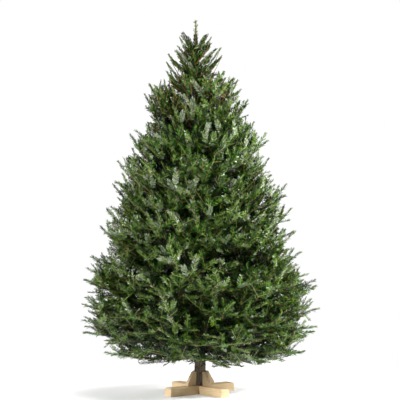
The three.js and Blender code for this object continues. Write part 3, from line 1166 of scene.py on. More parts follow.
@dataclass
class Growth:
    """How boughs fork, year by year, into the flat fans of a fir."""

    crown: Crown
    draw: np.random.Generator
    year: float = 0.094  # how long a bough grows in a year
    side_year: float = 0.098
    year_share: Span = (0.92, 1.06)
    least_year: float = 0.042
    jitter: float = 0.035
    upturn: float = 0.05
    tip_upturn: tuple[float, ...] = (0.05, 0.12, 0.2, 0.28, 0.36, 0.36, 0.28, 0.2)  # by tier
    upturn_share: Span = (0.5, 1.5)
    spread: Span = (44.0, 57.0)
    fork_lift: Span = (-8.0, 18.0)
    fan_roll: float = 15.0
    side_reach: Span = (0.84, 0.98)
    twig_reach: Span = (0.66, 0.84)
    longest_side: float = 0.36
    side_added: float = 0.02  # added to the reach of a side branch, and the same for others
    twig_added: float = 0.01
    riser_added: float = 0.05
    stub: float = 0.6  # the share of a year that a twig still grows where it would leave the crown
    deepest: int = 3
    between_share: float = 0.1
    between_least: float = 0.06
    between_at: Span = (0.35, 0.65)
    shaded: float = 0.55  # inside this share of the crown's radius many side twigs have died
    loss: Span = (0.04, 0.45)  # the share of side twigs that have died, outside and inside it
    riser_share: float = 0.6
    riser_reach: Span = (0.6, 0.17)  # as a share of what is left of the bough, and at most
    drooper_share: float = 0.35
    drooper_reach: Span = (0.5, 0.14)
    low_droopers: float = 0.3  # the share that the lowest tier has more
    rise_angle: Span = (32.0, 58.0)
    rise_lean: float = 0.4
    trident_share: float = 0.12
    trident_zone: Span = (0.78, 0.95)
    trident_rise: Span = (42.0, 74.0)
    trident_lean: float = 0.45
    trident_stem: Span = (0.02, 0.04)
    trident_shoot: Span = (0.066, 0.086)
    side_limit: Span = (0.86, 0.97)
    tip_limit: Span = (1.25, 1.3)
    trunk_clearance: float = 0.006
    filler_count: int = 12
    filler_reach: float = 0.93
    filler_lift: float = 6.0
    filler_cell: Span = (0.1, 15.0)  # height, and degrees round the trunk
    filler_heights: Span = (0.25, 1.55)
    surface: float = 0.74
    shoots: list[Shoot] = field(default_factory=list)

    def thinnest(self) -> Span:
        """Finds the place on the crown's surface with the least growth.

        Returns:
            Its azimuth in degrees, and its height.
        """
        ends = np.array([s.end for s in self.shoots if s.outward > self.surface])
        low, high = self.filler_heights
        tall, wide = self.filler_cell
        centres = np.array([self.crown.trunk.centre(z) for z in ends[:, 2]])
        turns = np.degrees(np.arctan2(*(ends - centres)[:, 1::-1].T)) % 360
        cells = (round((high - low) / tall), round(360 / wide))
        spans = ((low, high), (0.0, 360.0))
        grown, heights, _ = np.histogram2d(ends[:, 2], turns, cells, spans)
        middles = (heights[1:] + heights[:-1]) / 2
        table = np.array(self.crown.outline)
        reach = np.interp(middles, table[:, 0], table[:, 1:].mean(axis=1))
        thick = grown / reach[:, None]
        thick = 2 * thick + np.roll(thick, 1, axis=1) + np.roll(thick, -1, axis=1)
        row, column = np.unravel_index(np.argmin(thick), thick.shape)
        return (column + 0.5) * wide, float(middles[row])

    def fill(self) -> list[Bough]:
        """Grows boughs, one after another, to the thinnest places on the crown's surface.

        Returns:
            The boughs.
        """
        boughs = []
        for _ in range(self.filler_count):
            place = self.thinnest()
            boughs.append(self.crown.bough_to(*place, self.filler_reach, self.filler_lift))
            self.bough(boughs[-1])
        return boughs

    def fork(self, along: Array, up: Array, aside: int) -> Array:
        """The direction of a side branch.

        Args:
            along: The direction of what it leaves.
            up: The direction square to the fan.
            aside: -1 for one side, 1 for the other, and 0 for straight on.

        Returns:
            The direction.
        """
        angle = math.radians(self.draw.uniform(*self.spread))
        if not aside:
            return along
        level = np.cross(along, up)
        lift = math.radians(self.draw.uniform(*self.fork_lift))
        turned = along * math.cos(angle) + level * aside * math.sin(angle) + up * math.sin(lift)
        return unit(turned)

    def rolled(self, along: Array, up: Array) -> Array:
        """The direction square to a branch's own fan, which is tilted a little against its parent's.

        Args:
            along: The branch's direction.
            up: The direction square to its parent's fan.

        Returns:
            The direction.
        """
        square = unit(up - along * float(up @ along))
        roll = math.radians(self.draw.normal(0, self.fan_roll))
        return square * math.cos(roll) + np.cross(along, square) * math.sin(roll)

    def add_shoot(
        self, bough: Bough, start: Array, end: Array, up: Array, age: int, woody: bool = True
    ) -> bool:
        """Adds a year's shoot if it keeps inside the crown.

        Args:
            bough: What it grows on.
            start: Where it starts.
            end: Where it ends.
            up: The direction square to its fan.
            age: How many years it has been there.
            woody: Whether its twig has to be made.

        Returns:
            Whether it was added.
        """
        out, reach = self.crown.standing(end)
        limit = reach * self.draw.uniform(*(self.side_limit if woody else self.tip_limit))
        lowest = self.draw.uniform(*self.crown.floor)
        inner = self.crown.trunk.radius(end[2]) + self.trunk_clearance
        if end[2] < lowest or not inner <= out <= limit:
            return False
        along = unit(end - start)
        square = unit(up - along * float(up @ along))
        outward = out / max(reach, LEAST)
        shoot = Shoot(start, end, square, age, outward, bough.tier, bough.index, woody)
        self.shoots.append(shoot)
        return True

    def side(
        self, bough: Bough, at: Array, along: Array, up: Array, aside: int, reach: float, depth: int
    ) -> None:
        """Grows a branch to one side, with a fan of its own; the arguments are branch's."""
        turned = self.fork(along, up, aside)
        self.branch(bough, at, turned, self.rolled(turned, up), reach, depth)

    def branch(
        self, bough: Bough, start: Array, along: Array, up: Array, reach: float, depth: int
    ) -> None:
        """Grows a branch, year by year, with side branches of its own.

        Args:
            bough: What it grows on.
            start: Where it leaves.
            along: The direction in which it leaves.
            up: The direction square to its fan.
            reach: How long it grows.
            depth: 1 for a branch on a bough, and one more for each fork after that.
        """
        years = max(1, round(reach / self.side_year))
        length = reach / years
        for age in reversed(range(years)):
            jitter = self.draw.normal(0, self.jitter, 3)
            turn = self.tip_upturn[bough.tier - 1] if age < 2 else self.upturn
            along = unit(along + UP * turn * self.draw.uniform(*self.upturn_share) + jitter)
            end = start + along * length * self.draw.uniform(*self.year_share)
            if not self.add_shoot(bough, start, end, up, age):
                self.add_shoot(bough, start, start + (end - start) * self.stub, up, 0)
                return
            shade = int(self.shoots[-1].outward < self.shaded)
            between = depth < self.deepest and length > self.between_least and not shade
            if between and self.draw.random() < self.between_share:
                middle = start + (end - start) * self.draw.uniform(*self.between_at)
                turned = self.fork(along, up, self.draw.choice((-1, 1)))
                self.branch(bough, middle, turned, up, length * self.stub, self.deepest)
            for aside in (-1, 1) if age > 0 and depth < self.deepest else ():
                twig = age * length * self.draw.uniform(*self.twig_reach) + self.twig_added
                if twig >= self.least_year and self.draw.random() >= self.loss[shade]:
                    self.side(bough, end, along, up, aside, twig, depth + 1)
            low, high = self.trident_zone
            near_surface = low < self.shoots[-1].outward < high  # of the shoot that grew last
            if near_surface and self.draw.random() < self.trident_share:
                self.trident(bough, end)
            start = end

    def rise(self, bough: Bough, start: Array, along: Array, up: Array, reach: float) -> None:
        """Grows a short twig that stands up from its fan, or hangs from it where up is down.

        Args:
            bough: What it grows on.
            start: Where it leaves.
            along: The direction of what it leaves.
            up: The direction in which it turns away.
            reach: How long it grows.
        """
        steep = math.radians(self.draw.uniform(*self.rise_angle))
        level = np.cross(along, up)
        lean = level * self.draw.uniform(-self.rise_lean, self.rise_lean)
        turned = unit(along * math.cos(steep) + up * math.sin(steep) + lean)
        fan = unit(np.cross(level, turned))
        if fan[2] < 0:
            fan = -fan
        self.branch(bough, start, turned, self.rolled(turned, fan), reach, self.deepest - 1)

    def trident(self, bough: Bough, start: Array) -> None:
        """Grows a short twig that turns up along the outside of the crown and ends in three shoots.

        Args:
            bough: What it grows on.
            start: Where it leaves.
        """
        outwards = start - self.crown.trunk.centre(start[2])
        outwards = unit(outwards - UP * outwards[2])
        steep = math.radians(self.draw.uniform(*self.trident_rise))
        lean = np.cross(UP, outwards) * self.draw.uniform(-self.trident_lean, self.trident_lean)
        along = unit(outwards * math.cos(steep) + UP * math.sin(steep) + lean)
        up = self.rolled(along, UP - outwards)
        end = start + along * self.draw.uniform(*self.trident_stem)
        if self.add_shoot(bough, start, end, up, 1):
            for aside in (-1, 0, 1):
                way = self.fork(along, up, aside)
                tip = end + way * self.draw.uniform(*self.trident_shoot)
                self.add_shoot(bough, end, tip, up, 0)

    def bough(self, bough: Bough) -> None:
        """Grows everything that one bough carries.

        Args:
            bough: The bough.
        """
        years = bough.years or max(2, round(bough.length / self.year))
        roll = math.radians(self.draw.normal(0, self.fan_roll))
        droopers = self.drooper_share + (self.low_droopers if bough.tier == 1 else 0.0)
        for year in range(years):
            if (year + 1) / years <= bough.bare_share:
                continue
            start = point_at(bough.points, year / years)
            end = point_at(bough.points, (year + 1) / years)
            age = years - 1 - year
            along = unit(end - start)
            level, lifted = crossways(along)
            up = lifted * math.cos(roll) + level * math.sin(roll)
            if not self.add_shoot(bough, start, end, up, age, woody=False):
                bough.kept = year / years
                return
            if age == 0:
                return
            from_tip = age * bough.length / years
            for aside in (-1, 1):
                reach = from_tip * self.draw.uniform(*self.side_reach) + self.side_added
                self.side(bough, end, along, up, aside, min(reach, self.longest_side), 1)
            for share, (part, most), way in (
                (self.riser_share, self.riser_reach, lifted),
                (droopers, self.drooper_reach, -lifted),
            ):
                if self.draw.random() < share:
                    self.rise(bough, end, along, way, min(from_tip * part + self.riser_added, most))


# ---------------------------------------------------------------- foliage


@dataclass(frozen=True)
class Needle:
    """A kind of needle: how many a metre of shoot has, and its size and flat outline.

    The outline's corners are given along and across the needle, as shares of its length and width.
    """

    per_metre: float
    length: float
    width: float
    along: tuple[float, ...] = (0.0, 0.0, 1.0, 0.95)
    across: tuple[float, ...] = (0.34, -0.34, -0.42, 0.5)


LIT = Needle(590.0, 0.0195, 0.0031)
SHADE_GROWN = Needle(260.0, 0.0235, 0.0062, (0.0, 0.0, 1.0, 0.94), (0.3, -0.3, -0.4, 0.42))
ON_LEADER = Needle(0.0, 0.0195, 0.0031 * 0.8)
NEEDLE_FACES = np.array([[1, 2, 0], [2, 3, 0]])
BUD_FACES = np.array(
    [[0, 2, 1], [0, 3, 2], [0, 4, 3], [0, 1, 4], [5, 1, 2], [5, 2, 3], [5, 3, 4], [5, 4, 1]]
)


@dataclass
class Foliage:
    """The needles, twigs and buds on the shoots."""

    draw: np.random.Generator
    shade_limit: float = 0.65
    # How often each tint is dealt, from the darkest: inside the crown, at the tips of most tiers, and
    # at those of the lowest and the top tier. Most tiers' silver and paler tints depend on the tier.
    # The dark tints inside the crown are painted shade, and the paler tints at the tips are partly
    # painted light and partly the paler colour of new growth.
    inner_tints: tuple[float, ...] = (0.6, 0.32, 0.08, 0.0, 0.0, 0.0)
    outer_tints: tuple[float, ...] = (0.03, 0.18, 0.34, 0.22, 0.13)
    low_tints: tuple[float, ...] = (0.06, 0.24, 0.38, 0.18, 0.11, 0.03)
    top_tints: tuple[float, ...] = (0.1, 0.38, 0.24, 0.12, 0.02, 0.14)
    silver: Span = (0.02, 0.024)  # how often, and how much that rises by with each tier
    pale: Span = (1.24, -0.065)  # the same for what the last three tints are scaled by
    tip_zone: Span = (0.66, 0.22)  # where the tints of the tips begin, and how far that takes
    tip_ages: tuple[float, ...] = (1.0, 0.7, 0.45)
    tint_steps: tuple[float, ...] = (0.13, 0.18, 0.36, 0.2, 0.13)  # from 2 darker to 2 paler: painted shade, painted glints and random tone
    tight_from: Span = (4.0, 3.0)  # the tier from which shoots are tighter, and over how many
    tight_rich: float = 0.65
    rich: Span = (0.8, 0.35)
    rich_zone: Span = (0.68, 0.2)
    young_tier: int = 6  # from this tier up the twigs are smooth, tan and half bare
    half_bare: float = 0.5
    leading_rich: float = 1.45
    leading_lean: float = 0.7
    # The least, the commonest and the greatest angle of needles above their fan, for leading shoots
    # and for the others.
    all_round: tuple[float, ...] = (-70.0, 20.0, 100.0)
    parted: tuple[float, ...] = (-24.0, 8.0, 68.0)
    tuft: int = 2
    least_tufts: int = 2
    tuft_spread: float = 0.35
    lean: float = 58.0  # a needle's angle to its shoot, and what comes off it
    tight_lean: float = 6.0
    tip_lean: float = 22.0
    lean_scatter: float = 3.5
    length_share: tuple[float, ...] = (0.74, 0.28, 0.6)  # at the ends, what the middle adds, how soon
    length_scatter: Span = (0.94, 1.04)
    upper_short: float = 0.25
    tight_short: float = 0.1
    cup: float = 0.25
    curve: Span = (0.02, 0.09)
    clump: int = 2
    clump_twist: float = 26.0
    twist: float = 16.0
    twig_sides: int = 3
    twig_radius: float = 0.0015
    twig_taper: float = 0.75
    young_stout: float = 1.5
    yearly: Span = (0.0005, 0.0004)  # what a twig's foot and tip thicken by in a year
    # Inside this share of the crown's radius every twig has the old twigs' dark bark, as painted
    # shade.
    painted_shade_bark_within: float = 0.72
    bud: float = 0.0065
    bud_inset: float = 0.001
    bud_waist: Span = (0.3, 0.42)  # a bud's radius, and how far along it that is
    bud_zones: Span = (0.68, 0.85)  # where tips have one bud, and where they have three
    side_bud: Span = (0.7, 0.72)  # how far it turns aside, and its size
    leader_needles: int = 560
    leader_zone: Span = (1.62, 0.004)  # where they begin, and how far below the tip they end
    leader_crowding: float = 1.4
    leader_rise: Span = (35.0, 62.0)
    leader_length: Span = (0.5, 0.8)
    leader_cup: float = 0.2
    limb_points: int = 14
    limb_sides: int = 6
    limb_relief: float = 0.16
    collar: Span = (0.35, 0.03)  # how much thicker a limb is at the trunk, and how far that goes

    def tint_of(self, shoot: Shoot) -> Tint:
        """Deals a shoot its colour: darker inside the crown, and lighter at its tips.

        The darkness inside the crown is painted shade; the lightness at the tips is partly painted
        light and partly the paler colour of new growth.

        Args:
            shoot: The shoot.

        Returns:
            The tint.
        """
        # Painted shade and light: the deeper a shoot stands in the crown, the more it is dealt the
        # dark inner tints.
        start, zone = self.tip_zone
        outer = min(max((shoot.outward - start) / zone, 0.0), 1.0)
        young = outer * self.tip_ages[min(shoot.age, 2)]
        inside = np.array(self.inner_tints)
        tips = np.array([*self.outer_tints, self.silver[0] + self.silver[1] * shoot.tier])
        tips[3:] *= self.pale[0] + self.pale[1] * shoot.tier
        if shoot.tier in (1, len(TIERS)):
            tips = np.array(self.low_tints if shoot.tier == 1 else self.top_tints)
        weights = inside + (tips - inside) * young
        return Tint(int(self.draw.choice(len(weights), p=weights / weights.sum())))

    def needles(self, shoots: list[Shoot], skin: Skin) -> None:
        """Adds the needles of some shoots, broad and few where the shoot stands in the shade.

        Args:
            shoots: The shoots.
            skin: Where they are added.
        """
        shaded = [s for s in shoots if s.outward < self.shade_limit]
        lit = [s for s in shoots if s.outward >= self.shade_limit]
        for chosen, needle in ((shaded, SHADE_GROWN), (lit, LIT)):
            if chosen:
                self.spray(chosen, needle, skin)

    def spray(self, shoots: list[Shoot], needle: Needle, skin: Skin) -> None:
        """Adds needles to shoots: parted to both sides, and brushed over the top.

        Args:
            shoots: The shoots.
            needle: The kind of needle.
            skin: Where they are added.
        """
        names = ("start", "end", "up", "age", "outward", "tier", "woody")
        start, end, up, age, outward, tier, woody = columns(shoots, *names)
        tint = np.array([self.tint_of(s).value for s in shoots])
        length = np.linalg.norm(end - start, axis=1)
        tight = np.clip((tier - self.tight_from[0]) / self.tight_from[1], 0, 1)
        outer = np.clip((outward - self.rich_zone[0]) / self.rich_zone[1], 0, 1)
        rich = (self.rich[0] + self.rich[1] * outer) * (1 + self.tight_rich * tight)
        rich *= np.where((tier >= self.young_tier) & (age > 0) & woody, self.half_bare, 1.0)
        leading = (age == 0) & ~woody & (tier < len(TIERS))
        rich *= np.where(leading, self.leading_rich, 1.0)

        step = 2 * self.tuft
        tufts = np.rint(length * needle.per_metre * rich / step)
        count = np.maximum(self.least_tufts, tufts).astype(int) * step
        owner = np.repeat(np.arange(len(shoots)), count)
        rank = np.arange(count.sum()) - np.repeat(np.cumsum(count) - count, count)
        total = len(owner)
        in_tuft = rank % step < self.tuft
        tuft = rank // step + np.where(in_tuft, 0.0, 0.5)
        place = (tuft + self.tuft_spread * self.draw.random(total)) * step / count[owner]

        along, above, tight, leads = unit(end - start)[owner], up[owner], tight[owner], leading[owner]
        bounds = np.where(leads[:, None], self.all_round, self.parted).T
        around = np.radians(self.draw.triangular(*bounds, total))
        sideways = np.cross(along, above) * (np.cos(around) * np.where(in_tuft, -1.0, 1.0))[:, None]
        radial = sideways + above * np.sin(around)[:, None]
        scatter = self.draw.normal(0, self.lean_scatter, total)
        lean = self.lean - self.tight_lean * tight - self.tip_lean * place**2 + scatter
        lean = np.radians(lean * np.where(leads, self.leading_lean, 1.0))[:, None]
        ends, middle, soon = self.length_share
        reach = needle.length * (ends + middle * np.sin(math.pi * place) ** soon)
        uneven = self.draw.uniform(*self.length_scatter, total)
        reach *= uneven * (1 - self.upper_short * np.sin(around))
        reach *= 1 - self.tight_short * tight
        foot = start[owner] + along * (length[owner] * place)[:, None] + radial * self.twig_radius
        way = unit(along * np.cos(lean) + radial * np.sin(lean))
        faced = unit(above + radial * self.cup)
        self.add_needles(foot, way, faced, reach, self.varied(tint[owner]), needle, skin)

    def by_clump(self, values: Array, total: int) -> Array:
        """Gives every needle of a clump the clump's value."""
        return values[np.arange(total) // self.clump]

    def varied(self, tint: Array) -> Array:
        """Deals small clumps of needles a colour up to two steps darker or paler.

        The paler clumps are painted glints and the darker ones painted shade between needles, on top
        of a random tone.

        Args:
            tint: The index of each needle's colour.

        Returns:
            The new indices.
        """
        clumps = len(tint) // self.clump + 1
        steps = self.draw.choice(len(self.tint_steps), clumps, p=self.tint_steps) - 2
        own = self.by_clump(steps, len(tint))
        return np.clip(tint + own, Tint.SHADED.value, Tint.SILVER.value)

    def add_needles(
        self, foot: Array, way: Array, above: Array, reach: Array, tint: Array, needle: Needle,
        skin: Skin,
    ) -> None:
        """Adds needles as slim blades that curve up a little.

        Args:
            foot: Where each needle starts, one to a row.
            way: Its direction.
            above: The direction that its green side faces.
            reach: Its length.
            tint: The index of its colour.
            needle: The kind of needle.
            skin: Where they are added.
        """
        total = len(foot)
        face = unit(above - way * np.sum(above * way, axis=1, keepdims=True))
        across = np.cross(face, way)
        clumps = self.draw.normal(0, self.clump_twist, total // self.clump + 1)
        own = self.draw.normal(0, self.twist, total)
        twist = np.radians(own + self.by_clump(clumps, total))[:, None]
        across, face = (
            across * np.cos(twist) + face * np.sin(twist),
            face * np.cos(twist) - across * np.sin(twist),
        )
        curve = self.draw.uniform(*self.curve, total)
        corners = []
        for along_share, across_share in zip(needle.along, needle.across):
            spine = way * along_share + face * (curve * along_share**2)[:, None]
            corners.append(foot + spine * reach[:, None] + across * (needle.width * across_share))
        skin.add_all(np.stack(corners, axis=1), NEEDLE_FACES, tint)

    def twigs(self, shoots: list[Shoot], skin: Skin) -> None:
        """Adds the woody twigs of some shoots, thicker and browner where they are older, and with the
        old twigs' dark bark as painted shade inside the crown.

        Args:
            shoots: The shoots.
            skin: Where they are added.
        """
        woody = [s for s in shoots if s.woody]
        names = ("start", "end", "up", "age", "outward", "tier")
        start, end, up, age, outward, tier = columns(woody, *names)
        level = np.cross(unit(end - start), up)
        angles = circle(self.twig_sides, 0.5)[None, :, None]
        spokes = level[:, None] * np.cos(angles) + up[:, None] * np.sin(angles)
        young = tier >= self.young_tier
        stout = np.where(young, self.young_stout, 1.0)
        thick = self.twig_radius * stout + self.yearly[0] * age
        thin = self.twig_radius * self.twig_taper + self.yearly[1] * np.maximum(age - 1, 0)
        foot = start[:, None] + spokes * thick[:, None, None]
        tip = end[:, None] + spokes * thin[:, None, None]
        # Painted shade: inside the crown even young twigs get the old twigs' dark bark.
        bark = np.where(young, 1, np.where(outward < self.painted_shade_bark_within, 2, np.clip(age, 0, 2)))
        pattern = tube_faces(2, self.twig_sides, closed=False)
        skin.add_all(np.concatenate([foot, tip], axis=1), pattern, bark)

    def buds(self, shoots: list[Shoot], skin: Skin) -> None:
        """Adds one bud, or a cluster of three, to the tip of every new shoot.

        Args:
            shoots: The shoots.
            skin: Where they are added.
        """
        aside, small = self.side_bud
        one, three = self.bud_zones
        for turn, share, zone in ((0.0, 1.0, one), (-aside, small, three), (aside, small, three)):
            chosen = [s for s in shoots if s.age == 0 and s.outward > zone]
            if not chosen:
                continue
            start, end, up = columns(chosen, "start", "end", "up")
            along = unit(end - start)
            way = unit(along + np.cross(along, up) * turn)
            across = unit(np.cross(way, up))
            size = self.bud * share
            wide = size * self.bud_waist[0]
            foot = end - along * self.bud_inset
            waist = foot + way * size * self.bud_waist[1]
            ring = [waist + across * wide, waist + up * wide]
            ring += [waist - across * wide, waist - up * wide]
            skin.add_all(np.stack([foot, *ring, foot + way * size], axis=1), BUD_FACES)

    def leader(self, trunk: Trunk, skin: Skin) -> None:
        """Adds the short needles that stand all round the leader.

        Args:
            trunk: The trunk, whose top is the leader.
            skin: Where they are added.
        """
        total = self.leader_needles
        start, below_tip = self.leader_zone
        zone = trunk.top - below_tip - start
        height = start + zone * self.draw.random(total) ** self.leader_crowding
        around = self.draw.uniform(0, 2 * math.pi, total)
        radial = np.stack([np.cos(around), np.sin(around), np.zeros(total)], axis=1)
        centre = np.array([trunk.centre(z) for z in height])
        radius = np.array([trunk.radius(z) for z in height])[:, None]
        rise = np.radians(self.draw.uniform(*self.leader_rise, total))[:, None]
        way = radial * np.cos(rise) + UP * np.sin(rise)
        reach = ON_LEADER.length * self.draw.uniform(*self.leader_length, total)
        tints = [t.value for t in (Tint.DEEP, Tint.GREEN, Tint.OLIVE, Tint.BRIGHT)]
        tint = self.draw.choice(tints, total)
        foot = centre + radial * radius
        self.add_needles(foot, way, radial + UP * self.leader_cup, reach, tint, ON_LEADER, skin)

    def limbs(self, boughs: list[Bough], level: int, tier: Tier) -> None:
        """Makes the boughs of a tier, with their bark, from the trunk to their tips.

        Args:
            boughs: The tier's boughs that have grown.
            level: The tier's number.
            tier: The tier.
        """
        skin = Skin()
        stouter, fades = self.collar
        for bough in boughs:
            shares = np.linspace(0, bough.kept, self.limb_points)
            points = np.array([point_at(bough.points, s) for s in shares])
            radii = np.array([bough.radius(s) for s in shares])
            radii = radii * (1 + stouter * np.exp(-shares * bough.length / fades))
            add_tube(points, radii, self.limb_sides, self.limb_relief, skin)
        bark = YOUNG_LIMB if level >= self.young_tier else LIMB_BARK
        replaced = [f"bough_tier{level}_{i + 1}" for i in range(tier.count)] if tier.limb else []
        fit_out(skin.piece(f"limbs_tier{level}"), [bark], replaced)

    def dress(self, shoots: list[Shoot], boughs: list[Bough], trunk: Trunk) -> None:
        """Makes the pieces of the foliage, tier by tier.

        Args:
            shoots: All the shoots.
            boughs: All the boughs.
            trunk: The trunk.
        """
        greens = list(NEEDLE_FINISHES.values())
        for level, tier in enumerate(TIERS, start=1):
            own = [s for s in shoots if s.tier == level]
            groups = ((1, 2), (3, 4), (5,)) if tier.limb else ((1, 2, 3), (4, 5))
            for letter, numbers in zip("abc", groups):
                skin = Skin()
                self.needles([s for s in own if s.index in numbers], skin)
                if level == len(TIERS) and letter == "b":
                    self.leader(trunk, skin)
                masses = [f"needle_mass_tier{level}_{i}" for i in numbers if i <= tier.count]
                piece = skin.piece(f"needles_tier{level}_{letter}", smooth=False)
                fit_out(piece, greens, masses)
            for name, add, finishes in (
                ("twigs", self.twigs, [NEW_TWIG, YEAR_TWIG, OLD_AND_SHADED_TWIG]),
                ("buds", self.buds, [BUD_SCALES]),
            ):
                skin = Skin()
                add(own, skin)
                fit_out(skin.piece(f"{name}_tier{level}"), finishes)
            self.limbs([b for b in boughs if b.tier == level and b.kept], level, tier)


# ---------------------------------------------------------------- stand


@dataclass
class Stand:
    """The half-lapped wooden cross, its cleats and their nails."""

    trunk: Trunk
    span: float = 0.430
    width: float = 0.056
    height: float = 0.044
    turn: float = 38.0
    chamfer: float = 0.008
    bevel: float = 0.0022
    cleat_foot: float = 0.058
    cleat_height: float = 0.074
    cleat_toe: float = 0.014
    cleat_crest: float = 0.020
    cleat_thickness: float = 0.022
    nail_head: float = 0.0038
    nail_crown: float = 0.82
    nail_thickness: float = 0.0012
    nail_proud: float = 0.0002
    nail_shares: Span = (0.22, 0.62)  # how far up a cleat's slope they are

    def prism(
        self, name: str, outline: list[Span], thickness: float, turn: float
    ) -> bpy.types.Object:
        """Makes an upright board from its side view, with eased edges.

        Args:
            name: The piece's name.
            outline: Its corners, as distance along the board and height.
            thickness: How thick it is.
            turn: Its direction on the plan.

        Returns:
            The object.
        """
        body = bmesh.new()
        near = [body.verts.new((x, -thickness / 2, z)) for x, z in outline]
        far = [body.verts.new((x, thickness / 2, z)) for x, z in outline]
        body.faces.new(near)
        body.faces.new(list(reversed(far)))
        for i in range(len(outline)):
            j = (i + 1) % len(outline)
            body.faces.new([near[j], near[i], far[i], far[j]])
        bmesh.ops.recalc_face_normals(body, faces=body.faces)
        bmesh.ops.bevel(
            body, geom=list(body.edges), offset=self.bevel, segments=3, profile=0.6, affect="EDGES"
        )
        turned = Matrix.Rotation(math.radians(turn), 4, "Z")
        bmesh.ops.transform(body, matrix=turned, verts=body.verts)
        return place_body(name, body)

    def beam(self, name: str, notch_on_top: bool, turn: float) -> bpy.types.Object:
        """Makes one beam of the cross, with its half-lap notch.

        Args:
            name: The piece's name.
            notch_on_top: Whether the notch is in the top or in the underside.
            turn: The beam's direction on the plan.

        Returns:
            The object.
        """
        half, notch = self.span / 2, self.width / 2 + GAP
        lap = self.height / 2 + (-GAP / 2 if notch_on_top else GAP / 2)
        outline = [(-half, 0.0)]
        if not notch_on_top:
            outline += [(-notch, 0.0), (-notch, lap), (notch, lap), (notch, 0.0)]
        outline += [(half, 0.0), (half, self.height - self.chamfer)]
        outline += [(half - self.chamfer, self.height)]
        if notch_on_top:
            outline += [(notch, self.height), (notch, lap), (-notch, lap), (-notch, self.height)]
        outline += [(self.chamfer - half, self.height), (-half, self.height - self.chamfer)]
        return self.prism(name, outline, self.width, turn)

    def slope(self) -> tuple[Span, Span]:
        """Gives a cleat's sloping edge on its side view.

        Returns:
            Its foot and its head, each as the distance from the axis and the height.
        """
        butt, base = self.trunk.butt_radius, self.height + GAP
        foot = (butt + self.cleat_foot, base + self.cleat_toe)
        return foot, (butt + self.cleat_crest, base + self.cleat_height)

    def cleat(self, number: int) -> bpy.types.Object:
        """Makes one cleat, which stands on a beam against the trunk.

        Args:
            number: From 1 to 4.

        Returns:
            The object.
        """
        base = self.height + GAP
        foot, head = self.slope()
        inner = [(self.trunk.radius(z) + GAP, z) for z in (base, head[1])]
        outline = [inner[0], (foot[0], base), foot, head, inner[1]]
        turn = self.turn + 90 * (number - 1)
        return self.prism(f"cleat_board_{number}", outline, self.cleat_thickness, turn)

    def nails(self) -> bpy.types.Object:
        """Makes the heads of the nails in the sloping edges of the cleats.

        Returns:
            The object.
        """
        body = bmesh.new()
        foot, head = (Vector((out, 0, z)) for out, z in self.slope())
        slope = (head - foot).normalized()
        outwards = Vector((slope.z, 0, -slope.x))
        tilt = outwards.to_track_quat("Z", "Y").to_matrix().to_4x4()
        for number in range(4):
            turn = Matrix.Rotation(math.radians(self.turn + 90 * number), 4, "Z")
            for share in self.nail_shares:
                centre = foot.lerp(head, share) + outwards * self.nail_proud
                bmesh.ops.create_cone(
                    body,
                    cap_ends=True,
                    segments=20,
                    radius1=self.nail_head,
                    radius2=self.nail_head * self.nail_crown,
                    depth=self.nail_thickness,
                    matrix=turn @ Matrix.Translation(centre) @ tilt,
                )
        return place_body("nail_heads", body)

    def build(self) -> None:
        """Makes the whole stand and dresses it."""
        timber = {
            "lower": TimberFinish("timber_lower", 0.62, self.turn),
            "upper": TimberFinish("timber_upper", 0.62, self.turn + 90),
        }
        for name, finish in timber.items():
            beam = self.beam(f"{name}_beam_board", name == "lower", finish.turn)
            fit_out(beam, [finish], [f"stand_beam_{name}"])
        for number in range(1, 5):
            finish = timber["lower" if number % 2 else "upper"]
            fit_out(self.cleat(number), [finish], [f"stand_cleat_{number}"])
        fit_out(self.nails(), [NAIL_ZINC])


# ---------------------------------------------------------------- studio


@dataclass(frozen=True)
class Light:
    """A square soft light: where it stands, the length of its side, and its power in watts."""

    name: str
    place: tuple[float, float, float]
    size: float
    power: float

    def build(self, aim: tuple[float, float, float]) -> None:
        """Adds the light to the scene.

        Args:
            aim: The point that it shines at.
        """
        data = bpy.data.lights.new(self.name, "AREA")
        data.size = self.size
        data.energy = self.power
        made = place_object(self.name, data)
        made.location = self.place
        made.rotation_euler = (Vector(aim) - Vector(self.place)).to_track_quat("-Z", "Y").to_euler()


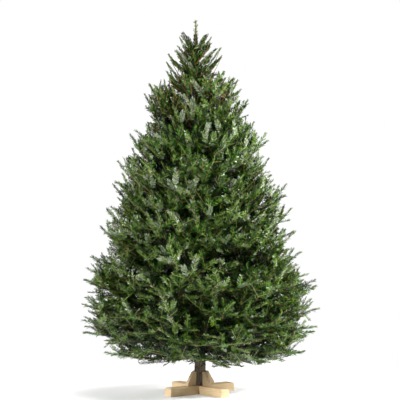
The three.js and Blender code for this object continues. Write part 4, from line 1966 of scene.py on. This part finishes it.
@dataclass
class Studio:
    """A pale floor under soft light, and the camera at its front."""

    distance: float = 7.5
    eye_height: float = 1.035
    frame_width: float = 2.144
    sensor: float = 36.0
    furthest: float = 60.0
    floor_size: float = 3.4
    floor_drop: float = 0.0004
    floor_colour: Colour = (0.86, 0.86, 0.86, 1.0)
    floor_fade: Span = (0.3, 1.7)  # where it begins to fade, and where it has gone
    ambient: float = 0.03
    aim: tuple[float, float, float] = (0.0, 0.0, 0.95)
    lights: tuple[Light, ...] = (
        Light("key", (4.4, -3.0, 3.7), 0.8, 535.0),
        Light("second_key", (-4.4, -3.0, 2.6), 0.8, 220.0),
        Light("overhead", (0.3, 0.2, 5.4), 2.4, 170.0),
        Light("side_left", (-4.6, 1.6, 2.0), 2.0, 280.0),
        Light("side_right", (4.6, 1.5, 2.0), 2.0, 395.0),
    )

    def camera(self) -> None:
        """Places the camera, level and square to the tree."""
        data = bpy.data.cameras.new("front_camera")
        data.sensor_width = self.sensor
        data.lens = self.sensor * self.distance / self.frame_width
        data.clip_end = self.furthest
        made = place_object("front_camera", data)
        made.location = (0.0, -self.distance, self.eye_height)
        made.rotation_euler = (math.radians(90), 0.0, 0.0)
        bpy.context.scene.camera = made

    def floor(self) -> None:
        """Lays a pale round floor whose edge fades into the background."""
        body = bmesh.new()
        bmesh.ops.create_circle(body, cap_ends=True, segments=96, radius=self.floor_size)
        made = place_body("studio_floor", body)
        made.location = (0.0, 0.0, -self.floor_drop)
        finish = FloorFinish("studio_floor", 0.9, self.floor_colour, self.floor_fade)
        made.data.materials.append(finish.material())

    def world(self) -> None:
        """Sets a white background that also lights softly from all round."""
        world = bpy.data.worlds.new("studio_world")
        bpy.context.scene.world = world
        world.use_nodes = True
        bench = Bench(world.node_tree)
        seen = bench.node("LightPath").outputs["Is Camera Ray"]
        soft = bench.node("Background", Color=WHITE, Strength=self.ambient).outputs[0]
        plain = bench.node("Background", Color=WHITE, Strength=1.0).outputs[0]
        mix = bench.node("MixShader", None, seen, soft, plain)
        bench.node("OutputWorld", Surface=mix.outputs[0])

    def build(self) -> None:
        """Sets up the whole studio."""
        self.camera()
        self.world()
        self.floor()
        for light in self.lights:
            light.build(self.aim)
        view = bpy.context.scene.view_settings
        view.view_transform = "Standard"
        view.look = "None"


def main() -> None:
    """Builds the studio, the stand, the trunk and the crown, and reports each piece."""
    logging.basicConfig(level=logging.INFO, format="%(name)s %(message)s")
    Studio().build()
    Effects().build()
    trunk = Trunk()
    Stand(trunk).build()
    trunk.build([tier.height for tier in TIERS])
    crown = Crown(trunk)
    draw = np.random.default_rng(SEED)
    boughs = crown.boughs(draw)
    growth = Growth(crown, draw)
    for bough in boughs:
        growth.bough(bough)
    boughs += growth.fill()
    log.info("%d boughs, %d shoots", len(boughs), len(growth.shoots))
    Foliage(draw).dress(growth.shoots, boughs, trunk)


if __name__ == "__main__":
    main()
